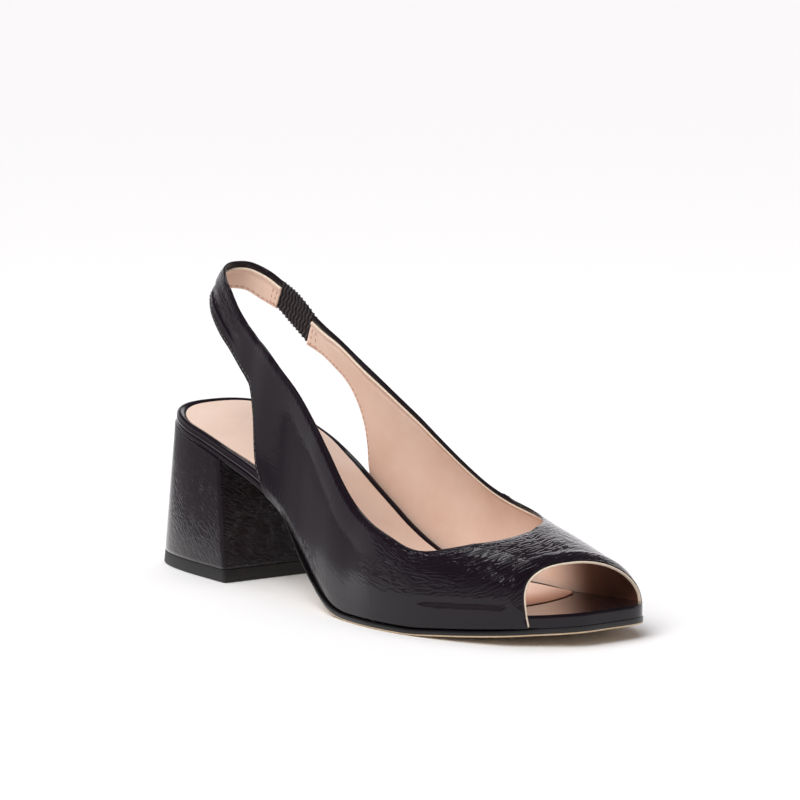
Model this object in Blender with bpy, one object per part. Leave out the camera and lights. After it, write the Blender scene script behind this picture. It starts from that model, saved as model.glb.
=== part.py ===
"""Peep-toe slingback pump on a flared block heel, right shoe, standing empty on its sole.

The tables below are in millimetres in the last's own frame: x runs from the back of the heel
seat to the toe, y to the wearer's left (the inner side of a right shoe), z up from the floor.
An empty then carries every piece so that the origin is at the middle of the footprint.
"""
import itertools
import math

import bmesh
import bpy
import numpy as np



def table(columns, *rows):
    """Columns of a short table by name, one row per section."""
    return dict(zip(columns.split(), np.array(rows, float).T))


MM = 0.001
GAP = 0.3                    # clearance between pieces that meet

# Sole
SEAT_BACK_X = -2.5           # rearmost point of the heel seat
SEAT_FULLNESS = 2.5          # 2 is an ellipse, more is squarer
TOE_TIP = (248.0, 5.0)       # foremost point of the insole, x and y
TOE_RIGHT_FULLNESS = 1.7     # the outer side tapers to the toe
TOE_LEFT_FULLNESS = 6.6      # the inner side runs straight to a square corner
TOE_LEFT_TAPER = 0.012
TOE_START_RIGHT_X = 165.0    # where each side begins to close towards the toe
TOE_START_LEFT_X = 175.0
OUTSOLE_THICKNESS = 2.5
OUTSOLE_MARGIN = 0.8         # how far the outsole stands out past the upper
OUTSOLE_WAIST_MARGIN = -0.6  # at the waist it lies just inside the insole's edge
OUTSOLE_TOE_MARGIN = 1.0     # and past the bare insole at the toe
OUTSOLE_REAR_X = 46.4        # the outsole stops at the heel breast and follows its slant
OUTSOLE_REAR_REACH = 24.0    # length over which that slant fades out
OUTSOLE_WAIST_BLEND = (72.0, 112.0)
OUTSOLE_TOE_BLEND = (226.0, 240.0)
SOCK_THICKNESS = 0.8
SOCK_INSET = 2.6             # bare rim of the insole round the sock
SOCK_FRONT_X = 212.3         # the toe of the insole stays bare ahead of the sock
SOCK_FRONT_BOW = 0.0097      # how fast the sock's front edge falls back from its middle, per mm
SOLE_STATIONS = 64
STATION_EASE = 0.65          # how much closer the stations stand towards both ends
END_INSET = 0.02             # the end stations keep a short straight edge
EDGE_POINTS = 160            # fine steps along each stretch of an edge

# Edge of the insole board, seen from above
OUTLINE = table(
    "x right left",
    (30.0, -28.4, 28.4),
    (50.0, -28.2, 27.8),
    (70.0, -26.6, 25.6),
    (85.0, -26.0, 24.8),
    (104.0, -28.6, 26.8),
    (120.0, -32.2, 30.8),
    (135.0, -35.6, 35.0),
    (150.0, -37.7, 38.4),
    (165.0, -38.5, 40.4),
    (175.0, -38.5, 41.2),
)

# Top of the insole board and its thickness, seen from the side
BED = table(
    "x top thickness",
    (-4.0, 67.8, 5.0),
    (10.0, 65.0, 5.0),
    (22.0, 62.2, 5.0),
    (32.0, 59.9, 5.0),
    (40.0, 57.8, 5.1),
    (48.0, 55.5, 5.2),
    (56.0, 53.0, 5.3),
    (64.0, 50.2, 5.4),
    (71.0, 47.4, 5.5),
    (78.0, 44.0, 5.6),
    (86.0, 39.6, 5.8),
    (97.0, 32.6, 6.0),
    (107.0, 25.4, 6.1),
    (119.0, 17.8, 6.2),
    (130.0, 13.0, 6.4),
    (142.0, 9.9, 6.4),
    (152.0, 9.2, 6.4),
    (185.0, 9.2, 6.4),
    (205.0, 10.2, 6.0),
    (222.0, 11.2, 5.5),
    (236.0, 12.3, 5.3),
    (252.0, 13.9, 5.3),
)

# Upper
WALL = 1.8                   # leather and lining together
THROAT_TIP = (208.0, -4.0)   # foremost point of the throat, x and y
THROAT_START_RIGHT_X = 174.0
THROAT_START_LEFT_X = 170.0
THROAT_RIGHT_FULLNESS = 2.1  # 2 is an ellipse in plan
THROAT_LEFT_FULLNESS = 1.85
SPOKE_POINTS = 11
RING_STATIONS = 92
STRAP_STATIONS = 22
STRAP_LEAD = 5               # spokes of the quarter that the strap's curve carries on from
PAIRING_POINTS = 600

# Sections of the last over the insole: ridge line, height and fullness
LAST = table(
    "x ridge_y height right_fullness left_fullness",
    (40.0, 0.0, 112.0, 1.02, 1.02),
    (50.0, 0.0, 115.0, 1.08, 1.08),
    (63.0, 0.0, 116.0, 1.18, 1.18),
    (80.0, 0.0, 94.5, 1.6, 1.6),
    (97.0, 0.6, 77.0, 2.1, 2.1),
    (116.0, 1.6, 68.5, 2.6, 2.6),
    (135.0, 3.0, 57.0, 2.9, 2.9),
    (151.0, 4.2, 47.5, 3.0, 3.0),
    (168.0, 5.8, 42.0, 3.0, 3.0),
    (181.0, 7.2, 36.8, 3.0, 2.9),
    (190.0, 7.8, 33.4, 3.0, 2.8),
    (205.0, 8.0, 29.0, 3.0, 2.6),
    (222.0, 7.0, 24.4, 3.0, 2.25),
    (240.0, 6.0, 18.0, 3.0, 2.0),
)
INSOLE_TURN = 90.0           # turn of a section at the top of the insole
LOW_TURN = 100.0             # and at the feather line, below the wall's upright foot

# Height of the top line along each side
TOP_LINE = table(
    "x right left",
    (40.0, 114.6, 115.2),
    (46.2, 110.3, 111.2),
    (55.0, 105.1, 106.0),
    (63.7, 100.5, 101.0),
    (72.5, 96.0, 96.4),
    (80.4, 91.1, 91.8),
    (88.3, 86.3, 87.6),
    (96.5, 81.2, 83.2),
    (105.9, 74.7, 77.6),
    (115.4, 68.0, 71.0),
    (125.0, 60.7, 64.0),
    (134.6, 53.4, 57.2),
    (143.8, 47.2, 51.6),
    (152.1, 43.0, 47.0),
    (160.6, 39.8, 43.4),
    (167.8, 37.7, 41.6),
    (174.0, 36.1, 40.8),
)

# Edge of the peep toe, by the turn round the last: negative on the right side
PEEP = table(
    "turn x",
    (-100.0, 236.2),
    (-85.0, 235.0),
    (-60.0, 234.4),
    (-30.0, 234.8),
    (0.0, 235.0),
    (30.0, 235.6),
    (60.0, 236.8),
    (85.0, 238.2),
    (100.0, 238.6),
)

# Free rear edge of each quarter, from the feather line up to the strap
REAR_EDGE_RIGHT = table(
    "x z",
    (76.6, 40.8),
    (74.2, 44.6),
    (71.8, 49.6),
    (70.0, 56.0),
    (66.9, 69.2),
    (61.8, 80.8),
    (57.8, 84.9),
    (53.5, 88.0),
)
REAR_EDGE_LEFT = table(
    "x z",
    (77.6, 44.8),
    (77.8, 53.4),
    (76.8, 63.6),
    (73.4, 73.2),
    (67.8, 81.2),
    (58.6, 87.9),
    (49.2, 92.2),
    (42.4, 94.6),
)
CORNER_RIGHT_X = 78.0        # where each rear edge meets the feather line
CORNER_LEFT_X = 78.4
WING_END_RIGHT_X = 51.0      # top line at the end of each quarter
WING_END_LEFT_X = 51.6

# Which place of the lower edge hangs from which place of the top line, on either side
SPOKES = table(
    "top_x low_x",
    (88.0, 88.0),
    (116.2, 118.0),
    (151.0, 156.0),
    (168.0, 182.0),
)

# Slingback strap from the right quarter round the heel to the elastic
STRAP = table(
    "top_x top_y top_z low_x low_y low_z",
    (42.6, -17.0, 113.2, 42.4, -20.8, 95.0),
    (35.0, -15.2, 119.4, 32.2, -19.0, 101.0),
    (27.0, -12.4, 124.4, 21.6, -16.0, 109.0),
    (19.6, -7.4, 127.8, 13.6, -9.8, 114.6),
    (15.6, 0.0, 129.0, 10.4, 0.0, 116.8),
    (18.2, 7.4, 128.6, 13.0, 8.6, 115.8),
    (25.0, 12.4, 125.4, 18.8, 13.6, 111.8),
    (34.0, 14.9, 120.6, 27.0, 15.8, 108.6),
)

# Elastic
ELASTIC_THICKNESS = 1.2
ELASTIC_INSET = 0.9          # narrower than the strap at each edge
ELASTIC_END_GAP = 0.36       # between its cut ends and the leather
ELASTIC_ROWS = 9
ELASTIC_COLUMNS = 5

# Heel: plan of the block at the floor and at its top
HEEL_PLAN = table(
    "rear_x breast_x right left fullness taper",
    (-13.0, 53.6, -31.0, 31.0, 3.6, 0.09),
    (-4.0, 45.6, -28.6, 28.4, 3.1, 0.0),
)
TOP_PIECE_THICKNESS = 5.5
BREAST_SLANT = 0.03          # the breast's inner end lies further forward
HEEL_LEVELS = 9
HEEL_ROUND_STATIONS = 30

SHARP_EDGE = math.radians(35)

# Colour (linear RGB), roughness
FINISHES = {
    "outsole": ((0.02, 0.018, 0.018), 0.5),
    "insole": ((0.012, 0.011, 0.012), 0.15),
    "sock": ((0.74, 0.57, 0.47), 0.5),
    "upper": ((0.012, 0.011, 0.012), 0.12),
    "elastic_gore": ((0.015, 0.014, 0.014), 0.8),
    "heel": ((0.012, 0.011, 0.012), 0.15),
    "top_piece": ((0.02, 0.02, 0.02), 0.6),
}


def curve_through(xs, ys, keep_shape=True):
    """Smooth function through the rows of two columns."""
    step = np.diff(xs)
    slope = np.diff(ys) / step
    tangent = np.empty_like(ys)
    tangent[0], tangent[-1] = slope[0], slope[-1]
    tangent[1:-1] = (slope[:-1] * step[1:] + slope[1:] * step[:-1]) / (step[:-1] + step[1:])
    if keep_shape:
        flat = slope[:-1] * slope[1:] <= 0.0
        tangent[1:-1][flat] = 0.0

    def value(x):
        x = np.clip(x, xs[0], xs[-1])
        i = np.clip(np.searchsorted(xs, x) - 1, 0, len(xs) - 2)
        t = (x - xs[i]) / step[i]
        a = (1 + 2 * t) * (1 - t) ** 2
        b = t * (1 - t) ** 2
        c = t * t * (3 - 2 * t)
        d = t * t * (t - 1)
        return a * ys[i] + b * step[i] * tangent[i] + c * ys[i + 1] + d * step[i] * tangent[i + 1]

    return value


def smooth_step(x, start, end):
    """0 before start, 1 after end, with no kink."""
    share = np.clip((x - start) / (end - start), 0.0, 1.0)
    return share * share * (3.0 - 2.0 * share)


def arc_lengths(points):
    """Distance along a polyline to each of its points."""
    steps = np.linalg.norm(np.diff(points, axis=0), axis=1)
    return np.concatenate([[0.0], np.cumsum(steps)])


bed_top = curve_through(BED["x"], BED["top"])
bed_thickness = curve_through(BED["x"], BED["thickness"])


def feather_z(x):
    """Underside of the insole board, where the upper's wall ends."""
    return bed_top(x) - bed_thickness(x)


def insole_edge(side):
    """Edge of the board from the back of the seat to the toe, right (-1) or left (1)."""
    if side < 0:
        column, toe_start = OUTLINE["right"], TOE_START_RIGHT_X
        toe_fullness, taper = TOE_RIGHT_FULLNESS, 0.0
    else:
        column, toe_start = OUTLINE["left"], TOE_START_LEFT_X
        toe_fullness, taper = TOE_LEFT_FULLNESS, TOE_LEFT_TAPER
    flank_y = curve_through(OUTLINE["x"], column)
    angle = np.linspace(0.0, math.pi / 2, EDGE_POINTS)
    power = 2.0 / SEAT_FULLNESS
    seat_x = OUTLINE["x"][0]
    back_x = seat_x - (seat_x - SEAT_BACK_X) * np.cos(angle) ** power
    back_y = column[0] * np.sin(angle) ** power
    flank_x = np.linspace(seat_x, toe_start, EDGE_POINTS)
    tip_x, tip_y = TOE_TIP
    power = 2.0 / toe_fullness
    toe_x = toe_start + (tip_x - toe_start) * np.sin(angle) ** power
    half = flank_y(toe_start) - tip_y - taper * (toe_x - toe_start)
    toe_y = tip_y + half * np.cos(angle) ** power
    xs = np.concatenate([back_x[:-1], flank_x[:-1], toe_x])
    ys = np.concatenate([back_y[:-1], flank_y(flank_x)[:-1], toe_y])
    return np.stack([xs, ys], -1)


def offset_edge(side, margin):
    """The board's edge moved outwards by a margin, as y for a given x."""
    edge = insole_edge(side)
    margins = margin(edge[:, 0]) if callable(margin) else np.full(len(edge), margin)
    tangent = np.gradient(edge, axis=0)
    tangent /= np.linalg.norm(tangent, axis=1)[:, None]
    tangent[0] = (0.0, side)
    tangent[-1] = (0.0, -side)
    outward = np.stack([-side * tangent[:, 1], side * tangent[:, 0]], -1)
    moved = edge + outward * margins[:, None]
    order = np.maximum.accumulate(moved[:, 0])
    return order, moved[:, 1]


def plate_stations(first_x, last_x, count):
    """Places along the shoe, closer together towards both ends."""
    angle = np.linspace(0.0, math.pi, count)
    even = np.linspace(0.0, 1.0, count)
    eased = 0.5 - 0.5 * np.cos(angle)
    return first_x + (last_x - first_x) * ((1 - STATION_EASE) * even + STATION_EASE * eased)


def mesh_object(name, verts, faces):
    """A named object in its own finish, from points in the last's frame."""
    mesh = bpy.data.meshes.new(name)
    mesh.from_pydata([tuple(float(c) * MM for c in v) for v in verts], [], faces)
    work = bmesh.new()
    work.from_mesh(mesh)
    bmesh.ops.recalc_face_normals(work, faces=work.faces[:])
    work.to_mesh(mesh)
    work.free()
    mesh.shade_smooth()
    mesh.set_sharp_from_angle(angle=SHARP_EDGE)
    obj = bpy.data.objects.new(name, mesh)
    colour, roughness = FINISHES[name]
    material = bpy.data.materials.new(name)
    material.use_nodes = True
    shader = material.node_tree.nodes["Principled BSDF"]
    shader.inputs["Base Color"].default_value = (*colour, 1.0)
    shader.inputs["Roughness"].default_value = roughness
    shader.inputs["Metallic"].default_value = 0.0
    mesh.materials.append(material)
    return obj


def strip_faces(columns):
    """Faces round a row of closed rings of equal length, with both ends capped by one face."""
    ring = len(columns[0])
    faces = []
    for a, b in zip(columns[:-1], columns[1:]):
        for k in range(ring):
            n = (k + 1) % ring
            faces.append((a[k], a[n], b[n], b[k]))
    faces.append(tuple(reversed(columns[0])))
    faces.append(tuple(columns[-1]))
    return faces


def plate(name, margin, top, bottom, first_x=None, slant=0.0, front=None):
    """A sheet that follows the bed: rings of four corners from heel to toe or to a bowed front."""
    right_x, right_y = offset_edge(-1, margin)
    left_x, left_y = offset_edge(1, margin)
    start = right_x[0] if first_x is None else first_x
    end = right_x[-1] if front is None else front[0]
    xs = plate_stations(start + END_INSET, end - END_INSET, SOLE_STATIONS)
    verts, columns = [], []
    for x in xs:
        y0 = np.interp(x, right_x, right_y)
        y1 = np.interp(x, left_x, left_y)
        if front is not None:
            reach = math.sqrt((front[0] - x) / front[1])
            y0, y1 = max(y0, -reach), min(y1, reach)
        lead = slant * (y1 - y0) * max(0.0, 1.0 - (x - start) / OUTSOLE_REAR_REACH)
        x1 = x + lead
        columns.append(range(len(verts), len(verts) + 4))
        verts += [(x, y0, bottom(x)), (x1, y1, bottom(x1)), (x1, y1, top(x1)), (x, y0, top(x))]
    return mesh_object(name, verts, strip_faces([list(c) for c in columns]))


def make_sole():
    """Outsole, insole board and sock."""
    wall = WALL + GAP

    def tread_margin(x):
        side = wall + OUTSOLE_MARGIN
        waist = smooth_step(x, *OUTSOLE_WAIST_BLEND)
        toe = smooth_step(x, *OUTSOLE_TOE_BLEND)
        margin = OUTSOLE_WAIST_MARGIN + (side - OUTSOLE_WAIST_MARGIN) * waist
        return margin + (OUTSOLE_TOE_MARGIN - side) * toe

    outsole = plate(
        "outsole", tread_margin,
        lambda x: feather_z(x) - GAP,
        lambda x: feather_z(x) - GAP - OUTSOLE_THICKNESS,
        first_x=OUTSOLE_REAR_X,
        slant=BREAST_SLANT,
    )
    insole = plate("insole", 0.0, bed_top, feather_z)
    sock = plate(
        "sock", -SOCK_INSET,
        lambda x: bed_top(x) + GAP + SOCK_THICKNESS,
        lambda x: bed_top(x) + GAP,
        front=(SOCK_FRONT_X, SOCK_FRONT_BOW),
    )
    return [outsole, insole, sock]


class Last:
    """Outer face of the upper: a section at each x, turned from the ridge down to a feather line.

    The turn is in degrees, negative on the right side; both x and turn may be arrays.
    """

    def __init__(self):
        self.ridge = curve_through(LAST["x"], LAST["ridge_y"])
        self.height = curve_through(LAST["x"], LAST["height"])
        self.right_fullness = curve_through(LAST["x"], LAST["right_fullness"])
        self.left_fullness = curve_through(LAST["x"], LAST["left_fullness"])
        self.right = offset_edge(-1, WALL + GAP)
        self.left = offset_edge(1, WALL + GAP)

    def edge(self, x, side):
        """Feather line of the right (negative side) or left of the shoe."""
        return np.where(side < 0, np.interp(x, *self.right), np.interp(x, *self.left))

    def fullness(self, x, side):
        """Squareness of the section on either side of the ridge."""
        return np.where(side < 0, self.right_fullness(x), self.left_fullness(x))

    def point(self, x, turn):
        """Point of the face."""
        power = 2.0 / self.fullness(x, turn)
        angle = np.radians(np.clip(np.abs(turn), 0.0, INSOLE_TURN))
        foot = np.clip((np.abs(turn) - INSOLE_TURN) / (LOW_TURN - INSOLE_TURN), 0.0, 1.0)
        ridge = self.ridge(x)
        y = ridge + (self.edge(x, turn) - ridge) * np.sin(angle) ** power
        z = bed_top(x) + self.height(x) * np.clip(np.cos(angle), 0.0, 1.0) ** power
        return np.stack([x, y, z - foot * bed_thickness(x)], -1)

    def turn_at_height(self, x, z, side):
        """Turn at which a section reaches a height."""
        share = np.clip((z - bed_top(x)) / self.height(x), 0.0, 1.0)
        foot = np.clip((bed_top(x) - z) / bed_thickness(x), 0.0, 1.0)
        turn = np.degrees(np.arccos(share ** (self.fullness(x, side) / 2.0)))
        return side * (turn + foot * (LOW_TURN - INSOLE_TURN))

    def turn_at_width(self, x, y):
        """Turn at which a section reaches a place across the shoe."""
        ridge = self.ridge(x)
        side = np.sign(y - ridge)
        share = np.clip((y - ridge) / (self.edge(x, side) - ridge), 0.0, 1.0)
        return side * np.degrees(np.arcsin(share ** (self.fullness(x, side) / 2.0)))


def top_line(last):
    """Top line as (x, turn), from the end of the left quarter round the throat to the right one."""
    parts = []
    for side, column, end_x, start_x, fullness in (
        (1, "left", WING_END_LEFT_X, THROAT_START_LEFT_X, THROAT_LEFT_FULLNESS),
        (-1, "right", WING_END_RIGHT_X, THROAT_START_RIGHT_X, THROAT_RIGHT_FULLNESS),
    ):
        height = curve_through(TOP_LINE["x"], TOP_LINE[column])
        xs = np.linspace(end_x, start_x, EDGE_POINTS)
        flank = np.stack([xs, last.turn_at_height(xs, height(xs), side)], -1)
        start_y = last.point(*flank[-1])[1]
        tip_x, tip_y = THROAT_TIP
        angle = np.linspace(0.0, math.pi / 2, EDGE_POINTS)
        power = 2.0 / fullness
        xs = start_x + (tip_x - start_x) * np.sin(angle) ** power
        ys = tip_y + (start_y - tip_y) * np.cos(angle) ** power
        throat = np.stack([xs, last.turn_at_width(xs, ys)], -1)
        half = np.concatenate([flank[:-1], throat])
        parts.append(half if side > 0 else half[::-1][1:])
    return np.concatenate(parts)


def low_edge(last):
    """Lower edge as (x, turn): left rear edge, left feather line, peep toe, then the right side."""
    peep_x = curve_through(PEEP["turn"], PEEP["x"])
    turns = np.linspace(LOW_TURN, -LOW_TURN, 2 * EDGE_POINTS)
    peep = np.stack([peep_x(turns), turns], -1)
    sides = []
    for side, corner_x, rows in (
        (1, CORNER_LEFT_X, REAR_EDGE_LEFT),
        (-1, CORNER_RIGHT_X, REAR_EDGE_RIGHT),
    ):
        rear = np.stack([rows["x"], last.turn_at_height(rows["x"], rows["z"], side)], -1)
        rear = np.concatenate([[(corner_x, side * LOW_TURN)], rear])[::-1]
        steps = np.arange(len(rear), dtype=float)
        fine = np.linspace(0.0, steps[-1], EDGE_POINTS)
        smooth = np.stack([curve_through(steps, rear[:, k])(fine) for k in (0, 1)], -1)
        xs = np.linspace(corner_x, peep_x(side * LOW_TURN), EDGE_POINTS)
        feather = np.stack([xs, np.full(EDGE_POINTS, side * LOW_TURN)], -1)
        sides.append(np.concatenate([smooth[:-1], feather]))
    return np.concatenate([sides[0][:-1], peep, sides[1][::-1][1:]])


def nearest(values, target, allowed):
    """Place of the allowed value that lies nearest to a target."""
    places = np.flatnonzero(allowed)
    return places[np.argmin(np.abs(values[places] - target))]


def ring_spokes(last):
    """Spokes from the top line to the lower edge: station, point on the spoke, xyz."""
    top, low = top_line(last), low_edge(last)
    top_length = arc_lengths(last.point(top[:, 0], top[:, 1]))
    low_length = arc_lengths(last.point(low[:, 0], low[:, 1]))
    top_tip = np.argmax(top[:, 0])
    low_tip = np.argmin(np.abs(low[:, 1]))
    on_feather = np.isclose(np.abs(low[:, 1]), LOW_TURN)
    on_left_top = np.arange(len(top)) < top_tip
    on_left_low = np.arange(len(low)) < low_tip
    pairs = [(0, 0), (top_tip, low_tip), (len(top) - 1, len(low) - 1)]
    for top_x, low_x in zip(SPOKES["top_x"], SPOKES["low_x"]):
        for left_top, left_low in ((on_left_top, on_left_low), (~on_left_top, ~on_left_low)):
            i = nearest(top[:, 0], top_x, left_top)
            j = nearest(low[:, 0], low_x, left_low & on_feather)
            pairs.append((i, j))
    i, j = np.array(sorted(pairs)).T
    pairing = curve_through(top_length[i], low_length[j])
    fine = np.linspace(0.0, top_length[-1], PAIRING_POINTS)
    both = fine + pairing(fine)
    spread = np.interp(np.linspace(0.0, both[-1], RING_STATIONS), both, fine)
    tops = np.stack([np.interp(spread, top_length, top[:, k]) for k in (0, 1)], -1)
    lows = np.stack([np.interp(pairing(spread), low_length, low[:, k]) for k in (0, 1)], -1)
    share = np.linspace(0.0, 1.0, SPOKE_POINTS)[None, :, None]
    path = tops[:, None, :] * (1 - share) + lows[:, None, :] * share
    return last.point(path[..., 0], path[..., 1])


def strap_spokes(quarter_end):
    """Spokes of the strap, carried on smoothly from the last spokes of the right quarter."""
    share = np.linspace(0.0, 1.0, SPOKE_POINTS)[None, :, None]
    tops = np.stack([STRAP["top_x"], STRAP["top_y"], STRAP["top_z"]], -1)[:, None]
    lows = np.stack([STRAP["low_x"], STRAP["low_y"], STRAP["low_z"]], -1)[:, None]
    rows = np.concatenate([quarter_end, tops * (1 - share) + lows * share])
    known = len(quarter_end) - 1
    middle = rows[:, SPOKE_POINTS // 2]
    lengths = arc_lengths(middle)
    spread = np.linspace(lengths[known], lengths[-1], STRAP_STATIONS + 1)[1:]
    spokes = np.empty((STRAP_STATIONS, SPOKE_POINTS, 3))
    for j in range(SPOKE_POINTS):
        for k in range(3):
            spokes[:, j, k] = curve_through(lengths, rows[:, j, k], keep_shape=False)(spread)
    return spokes


def face_normals(grid):
    """Unit normals of a grid of points."""
    du = np.gradient(grid, axis=0)
    dv = np.gradient(grid, axis=1)
    normal = np.cross(du, dv)
    return normal / np.linalg.norm(normal, axis=2)[..., None]


def thick_sheet(name, outer, inner):
    """Closed wall between two grids of points that face each other."""
    rows, cols = outer.shape[:2]
    verts = np.concatenate([outer.reshape(-1, 3), inner.reshape(-1, 3)])
    shift = rows * cols

    def at(i, j, layer):
        return layer * shift + i * cols + j

    faces = []
    for i, j in itertools.product(range(rows - 1), range(cols - 1)):
        square = ((i, j), (i + 1, j), (i + 1, j + 1), (i, j + 1))
        for layer in (0, 1):
            faces.append(tuple(at(*corner, layer) for corner in square))
    for i, j in itertools.product(range(rows - 1), (0, cols - 1)):
        faces.append((at(i, j, 0), at(i + 1, j, 0), at(i + 1, j, 1), at(i, j, 1)))
    for i, j in itertools.product((0, rows - 1), range(cols - 1)):
        faces.append((at(i, j, 0), at(i, j + 1, 0), at(i, j + 1, 1), at(i, j, 1)))
    return mesh_object(name, verts, faces)


def make_upper():
    """Upper with its quarters and strap as one wall, and the elastic that closes the strap."""
    ring = ring_spokes(Last())
    strap = strap_spokes(ring[-STRAP_LEAD:])
    outer = np.concatenate([ring, strap])
    normal = face_normals(outer)
    inner = outer - normal * WALL
    upper = thick_sheet("upper", outer, inner)
    return [upper, make_elastic(outer, normal)]


def make_elastic(outer, normal):
    """Ribbon between the strap's end and the end of the inner quarter."""
    strap_end, quarter_end = outer[-1], outer[0]
    depth = (WALL - ELASTIC_THICKNESS) / 2
    ends = []
    for edge, face, other in (
        (strap_end, normal[-1], quarter_end),
        (quarter_end, normal[0], strap_end),
    ):
        across = edge[-1] - edge[0]
        width = np.linalg.norm(across)
        towards = other.mean(axis=0) - edge.mean(axis=0)
        towards = towards / np.linalg.norm(towards) * ELASTIC_END_GAP
        trim = ELASTIC_INSET / width
        share = np.linspace(trim, 1 - trim, ELASTIC_COLUMNS)
        lengths = np.linspace(0.0, 1.0, len(edge))
        line = np.stack([np.interp(share, lengths, edge[:, k]) for k in range(3)], -1)
        facing = np.stack([np.interp(share, lengths, face[:, k]) for k in range(3)], -1)
        ends.append((line - facing * depth + towards, facing))
    steps = np.linspace(0.0, 1.0, ELASTIC_ROWS)[:, None, None]
    outer_face = ends[0][0][None] * (1 - steps) + ends[1][0][None] * steps
    facing = ends[0][1][None] * (1 - steps) + ends[1][1][None] * steps
    inner_face = outer_face - facing * ELASTIC_THICKNESS
    return thick_sheet("elastic_gore", outer_face, inner_face)


def heel_ring(reach, z_of_x):
    """Closed outline of the heel block, round at the back and straight at the breast.

    Reach is 0 at the floor and 1 at the top of the block.
    """
    plan = {name: column[0] + (column[1] - column[0]) * reach for name, column in HEEL_PLAN.items()}
    power = 2.0 / plan["fullness"]
    angle = np.linspace(-math.pi / 2, math.pi / 2, HEEL_ROUND_STATIONS)
    half = np.where(angle < 0, -plan["right"], plan["left"])
    y = np.sign(angle) * half * np.abs(np.sin(angle)) ** power
    y = y * (1.0 - plan["taper"] * np.cos(angle) ** power)
    front = plan["breast_x"] + BREAST_SLANT * (y - plan["right"])
    x = front - (front - plan["rear_x"]) * np.cos(angle) ** power
    return np.stack([x, y, z_of_x(x)], -1)


def make_heel():
    """Covered block and the rubber top piece under it."""
    low = TOP_PIECE_THICKNESS + GAP
    block_top = float(feather_z(HEEL_PLAN["breast_x"][1]))
    rings = []
    for share in np.linspace(0.0, 1.0, HEEL_LEVELS):
        reach = (low + share * (block_top - low)) / block_top
        rings.append(heel_ring(reach, lambda x: low + share * (feather_z(x) - GAP - low)))
    count = HEEL_ROUND_STATIONS
    columns = [list(range(k * count, (k + 1) * count)) for k in range(HEEL_LEVELS)]
    faces = strip_faces(columns)[:-2]
    for column in (columns[0], columns[-1]):
        for k in range(count // 2 - 1):
            faces.append((column[k], column[k + 1], column[count - 2 - k], column[count - 1 - k]))
    heel = mesh_object("heel", np.concatenate(rings), faces)
    rings = []
    for z in (0.0, TOP_PIECE_THICKNESS):
        rings.append(heel_ring(z / block_top, lambda x: np.full_like(x, z)))
    top_piece = mesh_object("top_piece", np.concatenate(rings), strip_faces(columns[:2]))
    return [heel, top_piece]


def main():
    for obj in list(bpy.data.objects):
        bpy.data.objects.remove(obj)
    shoe = bpy.data.collections.new("slingback_shoe")
    bpy.context.scene.collection.children.link(shoe)
    pieces = make_sole() + make_upper() + make_heel()
    corners = np.array([v.co for p in pieces for v in p.data.vertices])
    centre = (corners.min(axis=0) + corners.max(axis=0)) / 2
    stand = bpy.data.objects.new("stand", None)
    stand.location = (-centre[0], -centre[1], 0.0)
    shoe.objects.link(stand)
    for piece in pieces:
        shoe.objects.link(piece)
        piece.parent = stand


main()
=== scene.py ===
"""Looks of a peep-toe slingback pump in black crinkled patent leather, right shoe.

The tables repeat the part's own sizes in millimetres, in the last's frame: x from the back of the
heel seat to the toe, y to the wearer's left, z up from the floor. SHIFT carries them to the frame.
Pairs named _X, _Y or _Z are places between which something sets in or ends.
"""
import itertools
import math

import bmesh
import bpy
import numpy as np
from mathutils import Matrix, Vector


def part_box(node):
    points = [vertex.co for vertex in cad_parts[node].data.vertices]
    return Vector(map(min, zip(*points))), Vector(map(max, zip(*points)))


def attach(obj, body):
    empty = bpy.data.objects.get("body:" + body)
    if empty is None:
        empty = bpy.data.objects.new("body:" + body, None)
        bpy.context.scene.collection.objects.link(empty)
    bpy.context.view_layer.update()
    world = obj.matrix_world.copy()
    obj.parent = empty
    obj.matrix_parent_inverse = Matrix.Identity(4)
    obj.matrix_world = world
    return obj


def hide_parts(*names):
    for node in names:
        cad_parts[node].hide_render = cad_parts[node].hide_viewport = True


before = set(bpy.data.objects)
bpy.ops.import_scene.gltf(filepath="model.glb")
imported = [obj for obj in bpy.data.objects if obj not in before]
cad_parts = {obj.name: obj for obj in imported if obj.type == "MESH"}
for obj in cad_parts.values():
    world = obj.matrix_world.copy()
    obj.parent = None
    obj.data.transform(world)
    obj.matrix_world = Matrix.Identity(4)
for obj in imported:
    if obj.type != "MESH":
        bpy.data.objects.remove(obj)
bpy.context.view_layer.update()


def table(columns, *rows):
    """Columns of a short table by name, one row per section."""
    return dict(zip(columns.split(), np.array(rows, float).T))


MM = 0.001
GAP = 0.3

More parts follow.
